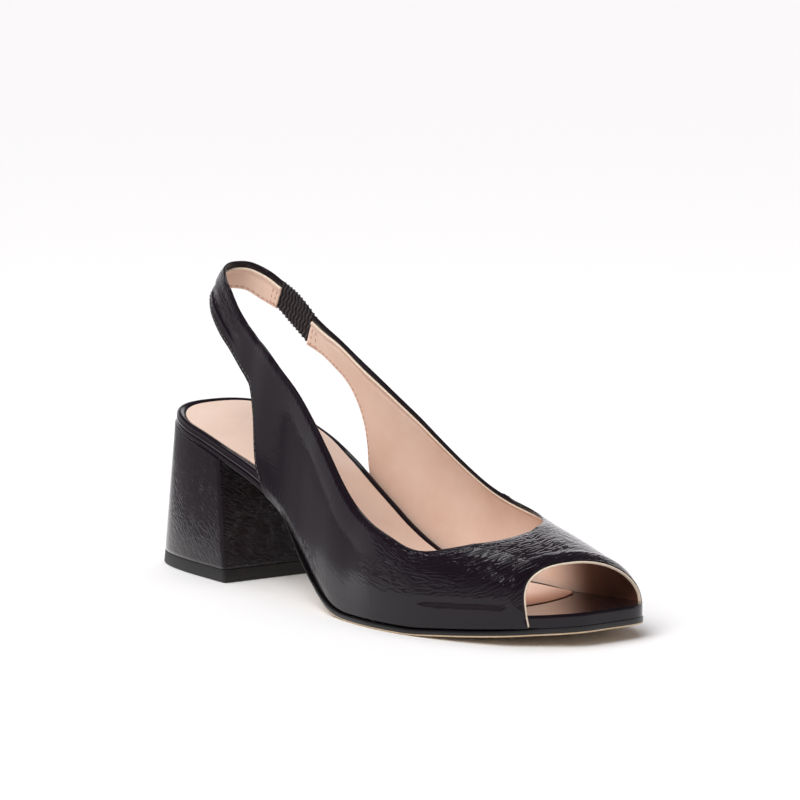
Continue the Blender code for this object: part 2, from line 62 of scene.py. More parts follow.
# Sole
SEAT_BACK_X = -2.5
SEAT_FULLNESS = 2.5
TOE_TIP = (248.0, 5.0)
TOE_RIGHT_FULLNESS = 1.7
TOE_LEFT_FULLNESS = 6.6
TOE_LEFT_TAPER = 0.012
TOE_START_RIGHT_X = 165.0
TOE_START_LEFT_X = 175.0
END_INSET = 0.02
OUTLINE = table(
    "x right left",
    (30.0, -28.4, 28.4),
    (50.0, -28.2, 27.8),
    (70.0, -26.6, 25.6),
    (85.0, -26.0, 24.8),
    (104.0, -28.6, 26.8),
    (120.0, -32.2, 30.8),
    (135.0, -35.6, 35.0),
    (150.0, -37.7, 38.4),
    (165.0, -38.5, 40.4),
    (175.0, -38.5, 41.2),
)
BED = table(
    "x top thickness",
    (-4.0, 67.8, 5.0),
    (10.0, 65.0, 5.0),
    (22.0, 62.2, 5.0),
    (32.0, 59.9, 5.0),
    (40.0, 57.8, 5.1),
    (48.0, 55.5, 5.2),
    (56.0, 53.0, 5.3),
    (64.0, 50.2, 5.4),
    (71.0, 47.4, 5.5),
    (78.0, 44.0, 5.6),
    (86.0, 39.6, 5.8),
    (97.0, 32.6, 6.0),
    (107.0, 25.4, 6.1),
    (119.0, 17.8, 6.2),
    (130.0, 13.0, 6.4),
    (142.0, 9.9, 6.4),
    (152.0, 9.2, 6.4),
    (185.0, 9.2, 6.4),
    (205.0, 10.2, 6.0),
    (222.0, 11.2, 5.5),
    (236.0, 12.3, 5.3),
    (252.0, 13.9, 5.3),
)
OUTSOLE_THICKNESS = 2.5
OUTSOLE_MARGIN = 0.8
OUTSOLE_WAIST_MARGIN = -0.6
OUTSOLE_TOE_MARGIN = 0.3
OUTSOLE_REAR_X = 46.4
OUTSOLE_WAIST_BLEND = (72.0, 112.0)
OUTSOLE_TOE_BLEND = (226.0, 240.0)
WAIST_THIN_X = (108.0, 140.0)
OUTSOLE_FOOT = (              # inset, more of it at the waist, height over the underside
    (0.75, 5.0, 0.0), (0.3, 4.0, 0.12), (0.12, 3.4, 0.4),
    (0.02, 2.6, 0.62), (0.0, 2.3, 0.66), (0.0, 1.2, 1.2),
)
OUTSOLE_TOP = (               # inset, more of it at the waist, depth under the top
    (0.0, 0.5, 0.5), (0.15, 0.45, 0.2), (0.45, 0.5, 0.04), (0.9, 0.6, 0.0),
)
OUTSOLE_PALE_ROWS = 4         # rows of the foot that aren't inked
PALE_EDGE_X = 118.0
PALE_UNDERSIDE_X = 66.0
UNDERSIDE_DEPTH = 0.05
FLUSH_TOE = 0.9               # edges are less rounded where the toe is bare
TOE_FLAT = 0.8
TOE_RISE = 0.28
FOOT_RADIUS = 0.5             # lower edge of the insole
FOOT_POINTS = 7
RIM_GROOVE_X = (95.0, 125.0)
RIM_BEAD_X = (180.0, 205.0)
INSOLE_GROOVE = (             # depth, share of the board's thickness
    (0.0, 0.34), (0.3, 0.38), (0.7, 0.42), (0.7, 0.44), (0.3, 0.48), (0.0, 0.53), (0.0, 0.7),
)
INSOLE_BEAD = (               # inset, height over the board
    (0.06, -0.6), (0.2, 0.1), (0.5, 0.55), (0.95, 0.85), (1.5, 0.95),
    (2.0, 0.85), (2.4, 0.5), (2.7, 0.1), (3.2, 0.0), (4.0, 0.0),
)
SOCK_INSET = 2.6
SOCK_REAR_TRIM = 2.2
SOCK_REAR_X = (-3.0, 24.0)
SOCK_WAIST_TRIM = 1.2
SOCK_WAIST_X = (45.0, 75.0)
SOCK_BALL_X = (165.0, 195.0)
SOCK_FRONT_X = 212.3
SOCK_FRONT_BOW = 0.0097
SOCK_FRONT_PRESS = 0.6        # share of the sock's thickness that is pressed away at its front edge
SOCK_FRONT_PRESS_X = (190.0, 206.0)
SOCK_EDGE = (                 # inset, height over the insole
    (0.0, 0.05), (0.0, 0.65), (0.15, 0.9), (0.45, 1.06), (0.9, 1.1), (1.6, 1.0), (2.4, 1.1),
)

# Upper
WALL = 1.8
THROAT_TIP = (208.0, -4.0)
THROAT_START_RIGHT_X = 174.0
THROAT_START_LEFT_X = 170.0
THROAT_RIGHT_FULLNESS = 2.1
THROAT_LEFT_FULLNESS = 1.85
LAST = table(
    "x ridge_y height right_fullness left_fullness",
    (40.0, 0.0, 112.0, 1.02, 1.02),
    (50.0, 0.0, 115.0, 1.08, 1.08),
    (63.0, 0.0, 116.0, 1.18, 1.18),
    (80.0, 0.0, 94.5, 1.6, 1.6),
    (97.0, 0.6, 77.0, 2.1, 2.1),
    (116.0, 1.6, 68.5, 2.6, 2.6),
    (135.0, 3.0, 57.0, 2.9, 2.9),
    (151.0, 4.2, 47.5, 3.0, 3.0),
    (168.0, 5.8, 42.0, 3.0, 3.0),
    (181.0, 7.2, 36.8, 3.0, 2.9),
    (190.0, 7.8, 33.4, 3.0, 2.8),
    (205.0, 8.0, 29.0, 3.0, 2.6),
    (222.0, 7.0, 24.4, 3.0, 2.25),
    (240.0, 6.0, 18.0, 3.0, 2.0),
)
INSOLE_TURN = 90.0
LOW_TURN = 100.0
FEATHER_MARGIN = 0.01         # degrees
TOP_LINE = table(
    "x right left",
    (40.0, 114.6, 115.2),
    (46.2, 110.3, 111.2),
    (55.0, 105.1, 106.1),
    (63.7, 100.5, 101.15),
    (72.5, 96.0, 96.0),
    (80.4, 91.1, 91.85),
    (88.3, 86.3, 87.75),
    (96.5, 81.2, 83.28),
    (105.9, 74.7, 77.6),
    (115.4, 68.0, 71.0),
    (125.0, 60.7, 64.0),
    (134.6, 53.4, 57.2),
    (143.8, 47.2, 51.6),
    (152.1, 43.0, 47.0),
    (160.6, 39.8, 43.4),
    (167.8, 37.7, 41.6),
    (174.0, 36.1, 40.8),
)
PEEP = table(
    "turn x",
    (-100.0, 236.2),
    (-85.0, 235.0),
    (-60.0, 234.4),
    (-30.0, 234.8),
    (0.0, 235.0),
    (30.0, 235.6),
    (60.0, 236.8),
    (85.0, 238.2),
    (100.0, 238.6),
)
REAR_EDGE_RIGHT = table(
    "x z",
    (76.6, 40.8),
    (74.2, 44.6),
    (71.8, 49.6),
    (70.0, 56.0),
    (66.9, 69.2),
    (61.8, 80.8),
    (57.8, 84.9),
    (53.5, 88.0),
)
REAR_EDGE_LEFT = table(
    "x z",
    (77.6, 44.8),
    (77.8, 53.4),
    (76.8, 63.6),
    (73.4, 73.2),
    (67.8, 81.2),
    (58.6, 87.9),
    (49.2, 92.2),
    (42.4, 94.6),
)
CORNER_RIGHT_X = 78.0
CORNER_LEFT_X = 78.4
WING_END_RIGHT_X = 51.0
WING_END_LEFT_X = 51.6
SPOKES = table(
    "top_x low_x",
    (88.0, 88.0),
    (116.2, 118.0),
    (151.0, 156.0),
    (168.0, 182.0),
)
STRAP = table(
    "top_x top_y top_z low_x low_y low_z",
    (42.6, -17.0, 113.2, 42.4, -20.8, 95.0),
    (35.0, -15.2, 119.4, 32.2, -19.0, 101.0),
    (27.0, -12.4, 124.4, 21.6, -16.0, 109.0),
    (19.6, -7.4, 127.8, 13.6, -9.8, 114.6),
    (15.6, 0.0, 129.0, 10.4, 0.0, 116.8),
    (18.2, 7.4, 128.6, 13.0, 8.6, 115.8),
    (25.0, 12.4, 125.4, 18.8, 13.6, 111.8),
    (34.0, 14.9, 120.6, 27.0, 15.8, 108.6),
)
SPOKE_BEND = 2.6              # keeps the spokes apart where the left rear edge stands upright
SPOKE_BEND_X = 75.0
SPOKE_BEND_REACH = 9.0
TOP_LINE_EASE_X = (100.0, 125.0)    # the inner quarter's top line is straight behind this

# Relief of the leather. A bend is its distance from the edge and the slope beyond it,
# a ridge its height, its place and its width.
BEND_SOFTNESS = 0.35
TOP_BEND = (3.0, 0.26)
WAIST_BEND = (4.6, 0.3)
WAIST_BEND_X = (112.0, 150.0)
LIP_BEND = (2.9, 0.34)
LIP_RIDGE = (0.4, 5.4, 1.7)
REAR_ROLL = (3.0, 0.35)       # reach and depth
SEAM_TOP_X = 157.0            # inner side seam, where the vamp laps over the quarter
SEAM_STEP = 0.55
SEAM_RISE = (-0.4, 0.4)
SEAM_FADE = (1.0, 9.0)
STRAP_FOLDS = table(
    "height place drift width",
    (0.45, 0.30, 0.15, 0.09),
    (-0.4, 0.52, 0.1, 0.1),
    (0.3, 0.76, 0.0, 0.08),
    (0.3, 0.36, 0.12, 0.03),
    (0.3, 0.7, 0.05, 0.03),
)
FOLDS_BEGIN = (0.02, 0.2)     # shares of the strap's length
FOLDS_END = (0.42, 0.6)
FLANK_HOLLOW = 1.1
HOLLOW_SHAPE = 1.5
HOLLOW_BEGIN_X = (68.0, 90.0)
HOLLOW_END_X = (146.0, 168.0)
PULL_DEPTH = 0.3
PULL_Z = 14.6
PULL_RISE = 0.06
PULL_WIDTH = 1.5
PULL_BEGIN_X = (188.0, 200.0)
PULL_END_X = (224.0, 233.0)
TOP_GATHER = (0.7, 3.0, 2.4)
WAIST_GATHER = (1.0, 5.4, 3.4)
CRINKLE_TOE_X = (152.0, 180.0)
CRINKLE_TOE_Z = (14.0, 22.0)
CRINKLE_STRAP_Z = (96.0, 116.0)
FLANK_CRINKLE = 0.05
STRAP_CRINKLE = 0.5

# Lining
LINING_THICKNESS = 0.5
LINING_TUCK = 0.2
LINING_TOP_INSET = 3.0        # black turned edge that shows above the lining
LINING_PEEP_INSET = 0.3
LINING_REAR_INSET = 0.7
LINING_WAIST_INSET = 2.2
LINING_TOP_STEPS = np.array([0.0, 0.45, 0.9, 1.4, 2.0, 2.7, 3.6, 4.8])
LINING_LOW_STEPS = np.array([1.8, 0.9, 0.45, 0.0])
LINING_BEAD = (0.34, 0.8, 0.8)
LINING_GROOVE = (-0.3, 2.7, 0.7)
LINING_REAR_GROOVE = (-0.16, 1.2, 0.5)
PEEP_EDGE_RADIUS = 0.42
PEEP_EDGE_TUCK = 0.15
TOE_PAINTED_SHADE_X = (174.0, 208.0)   # painted shade: lining and sock turn brown towards the toe, where the vamp shades the inside

# Elastic
ELASTIC_INSET = 0.9
ELASTIC_TUCK = 1.44           # the web runs on under the leather at both ends
ELASTIC_BULGE = 1.5           # the slack upper edge of the elastic stands up
WEB_HALF = 0.3
WEB_CELL = (0.4, 0.7)
RIB_COUNT = 12
RIB_RADIUS = 0.52
RIB_LIFT = 0.36
RIB_FIRST = 0.6               # place of the first rib and spare room, in rib widths
RIB_SPARE = 0.2
RIB_WAVE = (0.016, 3.0, 0.7)  # height, waves over the width, shift from rib to rib

# Heel
HEEL_PLAN = table(
    "rear_x breast_x right left fullness taper",
    (-13.0, 53.6, -31.0, 31.0, 3.6, 0.09),
    (-4.0, 45.6, -28.6, 28.4, 3.1, 0.0),
)
TOP_PIECE_THICKNESS = 5.5
TOP_PIECE_FOOT = ((0.0, 0.5), (0.06, 0.25), (0.2, 0.08), (0.5, 0.0))    # height, inset
TOP_PIECE_TOP = ((0.3, 0.0), (0.08, 0.1), (0.0, 0.3))                   # depth under the top, inset
COVER_GAP = 0.12
BREAST_SLANT = 0.03
HEEL_LAP = 0.22               # the cover's two ends overlap on the breast
HEEL_LAP_Y = (8.6, 9.4)
HEEL_BEVEL = 0.9
HEEL_BEVEL_STEPS = 4
HEEL_BEVEL_ANGLE = 40.0
MERGE_DISTANCE = 0.002        # slivers left by the rounded edges are taken out
HEEL_GRAIN = (0.6, 0.8)       # sine and cosine of the turn of the creases
HEEL_CRINKLE = (0.42, 2.2)    # sides and back, breast

# Thread
STITCH_PITCH = 2.5
STITCH_LENGTH = 2.0
STITCH_RADIUS = 0.26
STITCH_LIFT = 0.02
STITCH_SINK = 0.06
STITCH_FROM_EDGE = 1.7
STITCH_ROW_ENDS = (1, 6)      # stations left free at the strap and at the sole
STITCH_END_ROWS = (1.6, 4.0)  # distances from the ends of the leather at the elastic
STITCH_END_START = 4.0
STITCH_END_STOP = 2.2
SEAM_STITCH_BACK = 2.0
SEAM_STITCH_START = 1.6
SEAM_STITCH_STOP = 6.0

# Fineness of the pieces, in points, stations and passes
EDGE_POINTS = 160
TOP_LINE_POINTS = 1200
TOP_LINE_EASE = 61
PAIRING_POINTS = 600
COARSE_RING_STATIONS = 92     # the strap carries on from spokes spaced as in the solid
STRAP_LEAD = 5
RING_STATIONS = 560
STRAP_STATIONS = 150
STATION_EASE = 25
SLANT_EASE = 15
LEAST_SLANT = 0.3
SPOKE_POINTS = 61
OUTER_POINTS = 64
ROW_CROWDING = 0.6            # rows lie closer towards the edges
INNER_POINTS = 12
ROLL_POINTS = 7
LINING_ROWS = 30
SLAB_STATIONS = 260
SLAB_COLUMNS = 18
CORNER_REACH = 12
CORNER_ROUNDING = 16          # passes that round the sock's front corners
HEEL_OUTLINE_POINTS = 400
HEEL_BACK_POINTS = 160
HEEL_ROWS = 40
BREAST_POINTS = 100
HEEL_EDGE_REACH = 4
HEEL_ROUNDING = 3             # passes that round the heel's edges beside the breast
ELASTIC_COLUMNS = 25
ELASTIC_ROWS = 60
STITCH_LINE_POINTS = 24
SEAM_STITCH_POINTS = 40
ROUND_POINTS = 8
THREAD_RINGS = 6

# Camera: angles round the shoe, distance and the place it aims at, in the last's frame
CAMERA_AZIMUTH = 53.47
CAMERA_ELEVATION = 9.08
CAMERA_DISTANCE = 1903.6
CAMERA_TARGET = (115.0, 0.0, 50.0)
CAMERA_AIM_RIGHT = 10.77
CAMERA_AIM_UP = 30.6
CAMERA_LENS = 211.37
CAMERA_REACH = 100.0          # metres
SENSOR = 36.0

# Stage, in metres and degrees; bearings run from the toe to the wearer's left
FLOOR_SIZE = 30.0
FLOOR_Z = -0.0001
CARD_Z = 0.0003
CARD_BEARING = -121.6         # the grey card lies on the shoe's outer side
CARD_EDGE = (0.115, 0.215)    # from the shoe's middle, over which the card begins
WALL_TOP = (23.0, 26.5)
WALL_BEARING = 154.0
WALL_EDGE = (-0.02, 0.03)
GLOW_BEARING = 125.0          # the wall is brightest here
GLOW_REACH = (0.1, 0.95)
GLOW = (0.37, 0.74)
HORIZON_TOP = (6.0, 26.0)
HORIZON = 0.3
DARK_CEILING = (0.11, 0.105, 0.11, 1.0)
PALE_WALL = (1.5, 1.45, 1.5, 1.0)
FILLS = (                     # strength, spread, bearing, height
    ("overhead_fill", 1.2, 60.0, 170.0, 75.0),
    ("side_fill", 2.4, 50.0, -84.0, 52.0),
)
SOFTBOXES = (                 # radiance, width, depth, distance, bearing, height
    ("overhead_softbox", 3.7, 0.55, 0.3, 1.3, 170.0, 66.0),
    ("side_softbox", 4.0, 0.2, 0.5, 1.5, -76.0, 42.0),
)

top_piece_low, top_piece_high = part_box("top_piece")
SHIFT = np.array([
    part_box("insole")[0].x - (SEAT_BACK_X + END_INSET) * MM,
    (top_piece_low.y + top_piece_high.y) / 2,
    0.0,
])


def linear(code):
    """An sRGB hex colour as linear RGBA."""
    parts = [int(code[i:i + 2], 16) / 255 for i in (1, 3, 5)]
    return (*((c / 12.92) if c <= 0.04045 else ((c + 0.055) / 1.055) ** 2.4 for c in parts), 1.0)


def add(tree, kind, inputs=None, **settings):
    """A node with its settings, its values and its links."""
    made = tree.nodes.new(kind)
    for name, value in settings.items():
        setattr(made, name, value)
    for name, value in (inputs or {}).items():
        if isinstance(value, bpy.types.NodeSocket):
            tree.links.new(value, made.inputs[name])
        else:
            made.inputs[name].default_value = value
    return made


def per_mm(size):
    """Texture scale, in metres, that gives features of a size in millimetres."""
    return 1.0 / (size * MM)


def set_tones(ramp, *stops):
    """Places and colours of a ramp's stops."""
    for element, (position, colour) in zip(ramp.elements, stops):
        element.position = position
        element.color = colour


# Shape of the last and of the sole

def curve_through(xs, ys, keep_shape=True):
    """Smooth function through the rows of two columns."""
    step = np.diff(xs)
    slope = np.diff(ys) / step
    tangent = np.empty_like(ys)
    tangent[0], tangent[-1] = slope[0], slope[-1]
    tangent[1:-1] = (slope[:-1] * step[1:] + slope[1:] * step[:-1]) / (step[:-1] + step[1:])
    if keep_shape:
        flat = slope[:-1] * slope[1:] <= 0.0
        tangent[1:-1][flat] = 0.0

    def value(x):
        x = np.clip(x, xs[0], xs[-1])
        i = np.clip(np.searchsorted(xs, x) - 1, 0, len(xs) - 2)
        t = (x - xs[i]) / step[i]
        a = (1 + 2 * t) * (1 - t) ** 2
        b = t * (1 - t) ** 2
        c = t * t * (3 - 2 * t)
        d = t * t * (t - 1)
        return a * ys[i] + b * step[i] * tangent[i] + c * ys[i + 1] + d * step[i] * tangent[i + 1]

    return value


def smooth_step(x, start, end):
    """0 before start, 1 after end, with no kink."""
    share = np.clip((x - start) / (end - start), 0.0, 1.0)
    return share * share * (3.0 - 2.0 * share)


def bump_at(x, centre, width):
    """A soft hump of height 1 at a centre."""
    return np.exp(-((x - centre) / width) ** 2)


def ridge(x, height, centre, width):
    """A soft ridge, or a trough where its height is negative."""
    return height * bump_at(x, centre, width)


def arc_lengths(points):
    """Distance along a polyline to each of its points."""
    steps = np.linalg.norm(np.diff(points, axis=0), axis=1)
    return np.concatenate([[0.0], np.cumsum(steps)])


def placed(points, along, places):
    """Points at given places along a row of points."""
    return np.stack([np.interp(places, along, column) for column in points.T], -1)


def bell(reach):
    """Weights of a smooth average over a number of points."""
    weights = np.hanning(reach)
    return weights / weights.sum()


def round_off(points, near, passes):
    """Rounds a row of points where they lie near a corner."""
    for _ in range(passes):
        points[near] = (points[near - 1] + points[near] + points[(near + 1) % len(points)]) / 3


bed_top = curve_through(BED["x"], BED["top"])
bed_thickness = curve_through(BED["x"], BED["thickness"])


def feather_z(x):
    """Underside of the insole board, where the upper's wall ends."""
    return bed_top(x) - bed_thickness(x)


def insole_edge(side):
    """Edge of the board from the back of the seat to the toe, right (-1) or left (1)."""
    if side < 0:
        column, toe_start = OUTLINE["right"], TOE_START_RIGHT_X
        toe_fullness, taper = TOE_RIGHT_FULLNESS, 0.0
    else:
        column, toe_start = OUTLINE["left"], TOE_START_LEFT_X
        toe_fullness, taper = TOE_LEFT_FULLNESS, TOE_LEFT_TAPER
    flank_y = curve_through(OUTLINE["x"], column)
    angle = np.linspace(0.0, math.pi / 2, EDGE_POINTS)
    power = 2.0 / SEAT_FULLNESS
    seat_x = OUTLINE["x"][0]
    back_x = seat_x - (seat_x - SEAT_BACK_X) * np.cos(angle) ** power
    back_y = column[0] * np.sin(angle) ** power
    flank_x = np.linspace(seat_x, toe_start, EDGE_POINTS)
    tip_x, tip_y = TOE_TIP
    power = 2.0 / toe_fullness
    toe_x = toe_start + (tip_x - toe_start) * np.sin(angle) ** power
    half = flank_y(toe_start) - tip_y - taper * (toe_x - toe_start)
    toe_y = tip_y + half * np.cos(angle) ** power
    xs = np.concatenate([back_x[:-1], flank_x[:-1], toe_x])
    ys = np.concatenate([back_y[:-1], flank_y(flank_x)[:-1], toe_y])
    return np.stack([xs, ys], -1)


def moved_edge(side, margin):
    """The board's edge moved outwards by a margin, as plan points."""
    edge = insole_edge(side)
    margins = margin(edge[:, 0]) if callable(margin) else np.full(len(edge), margin)
    tangent = np.gradient(edge, axis=0)
    tangent /= np.linalg.norm(tangent, axis=1)[:, None]
    tangent[0] = (0.0, side)
    tangent[-1] = (0.0, -side)
    outward = np.stack([-side * tangent[:, 1], side * tangent[:, 0]], -1)
    return edge + outward * margins[:, None]


def offset_edge(side, margin):
    """The moved edge as y for a given x."""
    moved = moved_edge(side, margin)
    return np.maximum.accumulate(moved[:, 0]), moved[:, 1]


class Last:
    """Outer face of the upper: a section at each x, turned from the ridge down to a feather line.

    The turn is in degrees, negative on the right side; both x and turn may be arrays.
    """

    def __init__(self):
        self.ridge = curve_through(LAST["x"], LAST["ridge_y"])
        self.height = curve_through(LAST["x"], LAST["height"])
        self.right_fullness = curve_through(LAST["x"], LAST["right_fullness"])
        self.left_fullness = curve_through(LAST["x"], LAST["left_fullness"])
        self.right = offset_edge(-1, WALL + GAP)
        self.left = offset_edge(1, WALL + GAP)

    def edge(self, x, side):
        """Feather line of the right (negative side) or left of the shoe."""
        return np.where(side < 0, np.interp(x, *self.right), np.interp(x, *self.left))

    def fullness(self, x, side):
        """Squareness of the section on either side of the ridge."""
        return np.where(side < 0, self.right_fullness(x), self.left_fullness(x))

    def point(self, x, turn):
        """Point of the face."""
        power = 2.0 / self.fullness(x, turn)
        angle = np.radians(np.clip(np.abs(turn), 0.0, INSOLE_TURN))
        foot = np.clip((np.abs(turn) - INSOLE_TURN) / (LOW_TURN - INSOLE_TURN), 0.0, 1.0)
        ridge = self.ridge(x)
        y = ridge + (self.edge(x, turn) - ridge) * np.sin(angle) ** power
        z = bed_top(x) + self.height(x) * np.clip(np.cos(angle), 0.0, 1.0) ** power
        return np.stack([x, y, z - foot * bed_thickness(x)], -1)

    def turn_at_height(self, x, z, side):
        """Turn at which a section reaches a height."""
        share = np.clip((z - bed_top(x)) / self.height(x), 0.0, 1.0)
        foot = np.clip((bed_top(x) - z) / bed_thickness(x), 0.0, 1.0)
        turn = np.degrees(np.arccos(share ** (self.fullness(x, side) / 2.0)))
        return side * (turn + foot * (LOW_TURN - INSOLE_TURN))

    def turn_at_width(self, x, y):
        """Turn at which a section reaches a place across the shoe."""
        ridge = self.ridge(x)
        side = np.sign(y - ridge)
        share = np.clip((y - ridge) / (self.edge(x, side) - ridge), 0.0, 1.0)
        return side * np.degrees(np.arcsin(share ** (self.fullness(x, side) / 2.0)))


def top_line(last):
    """Top line as (x, turn), from the end of the left quarter round the throat to the right one."""
    parts = []
    for side, column, end_x, start_x, fullness in (
        (1, "left", WING_END_LEFT_X, THROAT_START_LEFT_X, THROAT_LEFT_FULLNESS),
        (-1, "right", WING_END_RIGHT_X, THROAT_START_RIGHT_X, THROAT_RIGHT_FULLNESS),
    ):
        height = curve_through(TOP_LINE["x"], TOP_LINE[column])
        xs = np.linspace(end_x, start_x, EDGE_POINTS)
        flank = np.stack([xs, last.turn_at_height(xs, height(xs), side)], -1)
        start_y = last.point(*flank[-1])[1]
        tip_x, tip_y = THROAT_TIP
        angle = np.linspace(0.0, math.pi / 2, EDGE_POINTS)
        power = 2.0 / fullness
        xs = start_x + (tip_x - start_x) * np.sin(angle) ** power
        ys = tip_y + (start_y - tip_y) * np.cos(angle) ** power
        throat = np.stack([xs, last.turn_at_width(xs, ys)], -1)
        half = np.concatenate([flank[:-1], throat])
        parts.append(half if side > 0 else half[::-1][1:])
    return np.concatenate(parts)


def low_edge(last):
    """Lower edge as (x, turn): left rear edge, left feather line, peep toe, then the right side."""
    peep_x = curve_through(PEEP["turn"], PEEP["x"])
    turns = np.linspace(LOW_TURN, -LOW_TURN, 2 * EDGE_POINTS)
    peep = np.stack([peep_x(turns), turns], -1)
    sides = []
    for side, corner_x, rows in (
        (1, CORNER_LEFT_X, REAR_EDGE_LEFT),
        (-1, CORNER_RIGHT_X, REAR_EDGE_RIGHT),
    ):
        rear = np.stack([rows["x"], last.turn_at_height(rows["x"], rows["z"], side)], -1)
        rear = np.concatenate([[(corner_x, side * LOW_TURN)], rear])[::-1]
        steps = np.arange(len(rear), dtype=float)
        fine = np.linspace(0.0, steps[-1], EDGE_POINTS)
        smooth = np.stack([curve_through(steps, rear[:, k])(fine) for k in (0, 1)], -1)
        xs = np.linspace(corner_x, peep_x(side * LOW_TURN), EDGE_POINTS)
        feather = np.stack([xs, np.full(EDGE_POINTS, side * LOW_TURN)], -1)
        sides.append(np.concatenate([smooth[:-1], feather]))
    return np.concatenate([sides[0][:-1], peep, sides[1][::-1][1:]])


def nearest(values, target, allowed):
    """Place of the allowed value that lies nearest to a target."""
    places = np.flatnonzero(allowed)
    return places[np.argmin(np.abs(values[places] - target))]


def flowing(last, path):
    """A path of (x, turn) with even points, eased but where the inner quarter's edge is straight."""
    lengths = arc_lengths(last.point(path[:, 0], path[:, 1]))
    even = placed(path, lengths, np.linspace(0.0, lengths[-1], TOP_LINE_POINTS))
    padded = np.pad(even, ((TOP_LINE_EASE // 2,) * 2, (0, 0)), mode="reflect", reflect_type="odd")
    soft = [np.convolve(column, bell(TOP_LINE_EASE), mode="valid") for column in padded.T]
    share = np.where(even[:, 1:] > 0.0, smooth_step(even[:, :1], *TOP_LINE_EASE_X), 1.0)
    return even + (np.stack(soft, -1) - even) * share


def ring_spokes(last, stations):
    """Spokes from the top line to the lower edge, and both their ends as (x, turn)."""
    top, low = flowing(last, top_line(last)), low_edge(last)
    top_length = arc_lengths(last.point(top[:, 0], top[:, 1]))
    low_length = arc_lengths(last.point(low[:, 0], low[:, 1]))
    top_tip = np.argmax(top[:, 0])
    low_tip = np.argmin(np.abs(low[:, 1]))
    on_feather = np.isclose(np.abs(low[:, 1]), LOW_TURN)
    on_left_top = np.arange(len(top)) < top_tip
    on_left_low = np.arange(len(low)) < low_tip
    pairs = [(0, 0), (top_tip, low_tip), (len(top) - 1, len(low) - 1)]
    for top_x, low_x in zip(SPOKES["top_x"], SPOKES["low_x"]):
        for left_top, left_low in ((on_left_top, on_left_low), (~on_left_top, ~on_left_low)):
            i = nearest(top[:, 0], top_x, left_top)
            j = nearest(low[:, 0], low_x, left_low & on_feather)
            pairs.append((i, j))
    i, j = np.array(sorted(pairs)).T
    pairing = curve_through(top_length[i], low_length[j])
    fine = np.linspace(0.0, top_length[-1], PAIRING_POINTS)
    both = fine + pairing(fine)
    spread = np.interp(np.linspace(0.0, both[-1], stations), both, fine)
    tops = placed(top, top_length, spread)
    lows = placed(low, low_length, pairing(spread))
    share = np.linspace(0.0, 1.0, SPOKE_POINTS)[None, :, None]
    path = tops[:, None, :] * (1 - share) + lows[:, None, :] * share
    bend = SPOKE_BEND * bump_at(tops[:, :1], SPOKE_BEND_X, SPOKE_BEND_REACH) * (tops[:, 1:] > 0.0)
    path[..., 0] += bend * (4.0 * share * (1.0 - share))[..., 0]
    return last.point(path[..., 0], path[..., 1]), tops, lows


def strap_spokes(quarter_end):
    """Spokes of the strap, carried on smoothly from the last spokes of the right quarter."""
    share = np.linspace(0.0, 1.0, SPOKE_POINTS)[None, :, None]
    tops = np.stack([STRAP["top_x"], STRAP["top_y"], STRAP["top_z"]], -1)[:, None]
    lows = np.stack([STRAP["low_x"], STRAP["low_y"], STRAP["low_z"]], -1)[:, None]
    rows = np.concatenate([quarter_end, tops * (1 - share) + lows * share])
    known = len(quarter_end) - 1
    lengths = arc_lengths(rows[:, SPOKE_POINTS // 2])
    spread = np.linspace(lengths[known], lengths[-1], STRAP_STATIONS + 1)[1:]
    spokes = np.empty((STRAP_STATIONS, SPOKE_POINTS, 3))
    for j, k in itertools.product(range(SPOKE_POINTS), range(3)):
        spokes[:, j, k] = curve_through(lengths, rows[:, j, k], keep_shape=False)(spread)
    return spokes


def unit(vectors):
    """Vectors with a length of 1."""
    return vectors / np.linalg.norm(vectors, axis=-1, keepdims=True)


def face_normals(grid):
    """Unit normals of a grid of points."""
    return unit(np.cross(np.gradient(grid, axis=0), np.gradient(grid, axis=1)))


# Making meshes

def mesh_piece(name, verts, faces, materials, slots=None, uv=None, values=None):
    """A piece that rides on the shoe, from points in the last's frame."""
    mesh = bpy.data.meshes.new(name)
    mesh.from_pydata((np.asarray(verts) * MM + SHIFT).tolist(), [], [list(f) for f in faces])
    for material in materials:
        mesh.materials.append(material)
    if slots is not None:
        mesh.polygons.foreach_set("material_index", np.asarray(slots, np.int32))
    if uv is not None:
        corner = np.empty(len(mesh.loops), np.int32)
        mesh.loops.foreach_get("vertex_index", corner)
        layer = mesh.uv_layers.new(name="UVMap")
        layer.data.foreach_set("uv", (np.asarray(uv) * MM)[corner].astype(np.float32).ravel())
    for key, numbers in (values or {}).items():
        attribute = mesh.attributes.new(key, "FLOAT", "POINT")
        attribute.data.foreach_set("value", np.asarray(numbers, np.float32))
    work = bmesh.new()
    work.from_mesh(mesh)
    bmesh.ops.recalc_face_normals(work, faces=work.faces[:])
    work.to_mesh(mesh)
    work.free()
    mesh.shade_smooth()
    obj = bpy.data.objects.new(name, mesh)
    bpy.context.scene.collection.objects.link(obj)
    return obj


def finish_piece(obj, slot, *nodes):
    """The piece moves with the shoe and stands for its solids; its slot is not used."""
    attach(obj, "root")
    if nodes:
        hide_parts(*nodes)


def loft(rings, capped=False):
    """Faces between closed rings of equal length, and one across either end if they are capped."""
    count, size = len(rings), len(rings[0])
    faces = []
    for i, k in itertools.product(range(count - 1), range(size)):
        n = (k + 1) % size
        a, b = i * size, (i + 1) * size
        faces.append((a + k, a + n, b + n, b + k))
    if capped:
        faces += [tuple(range(size)), tuple(range((count - 1) * size, count * size))]
    return faces


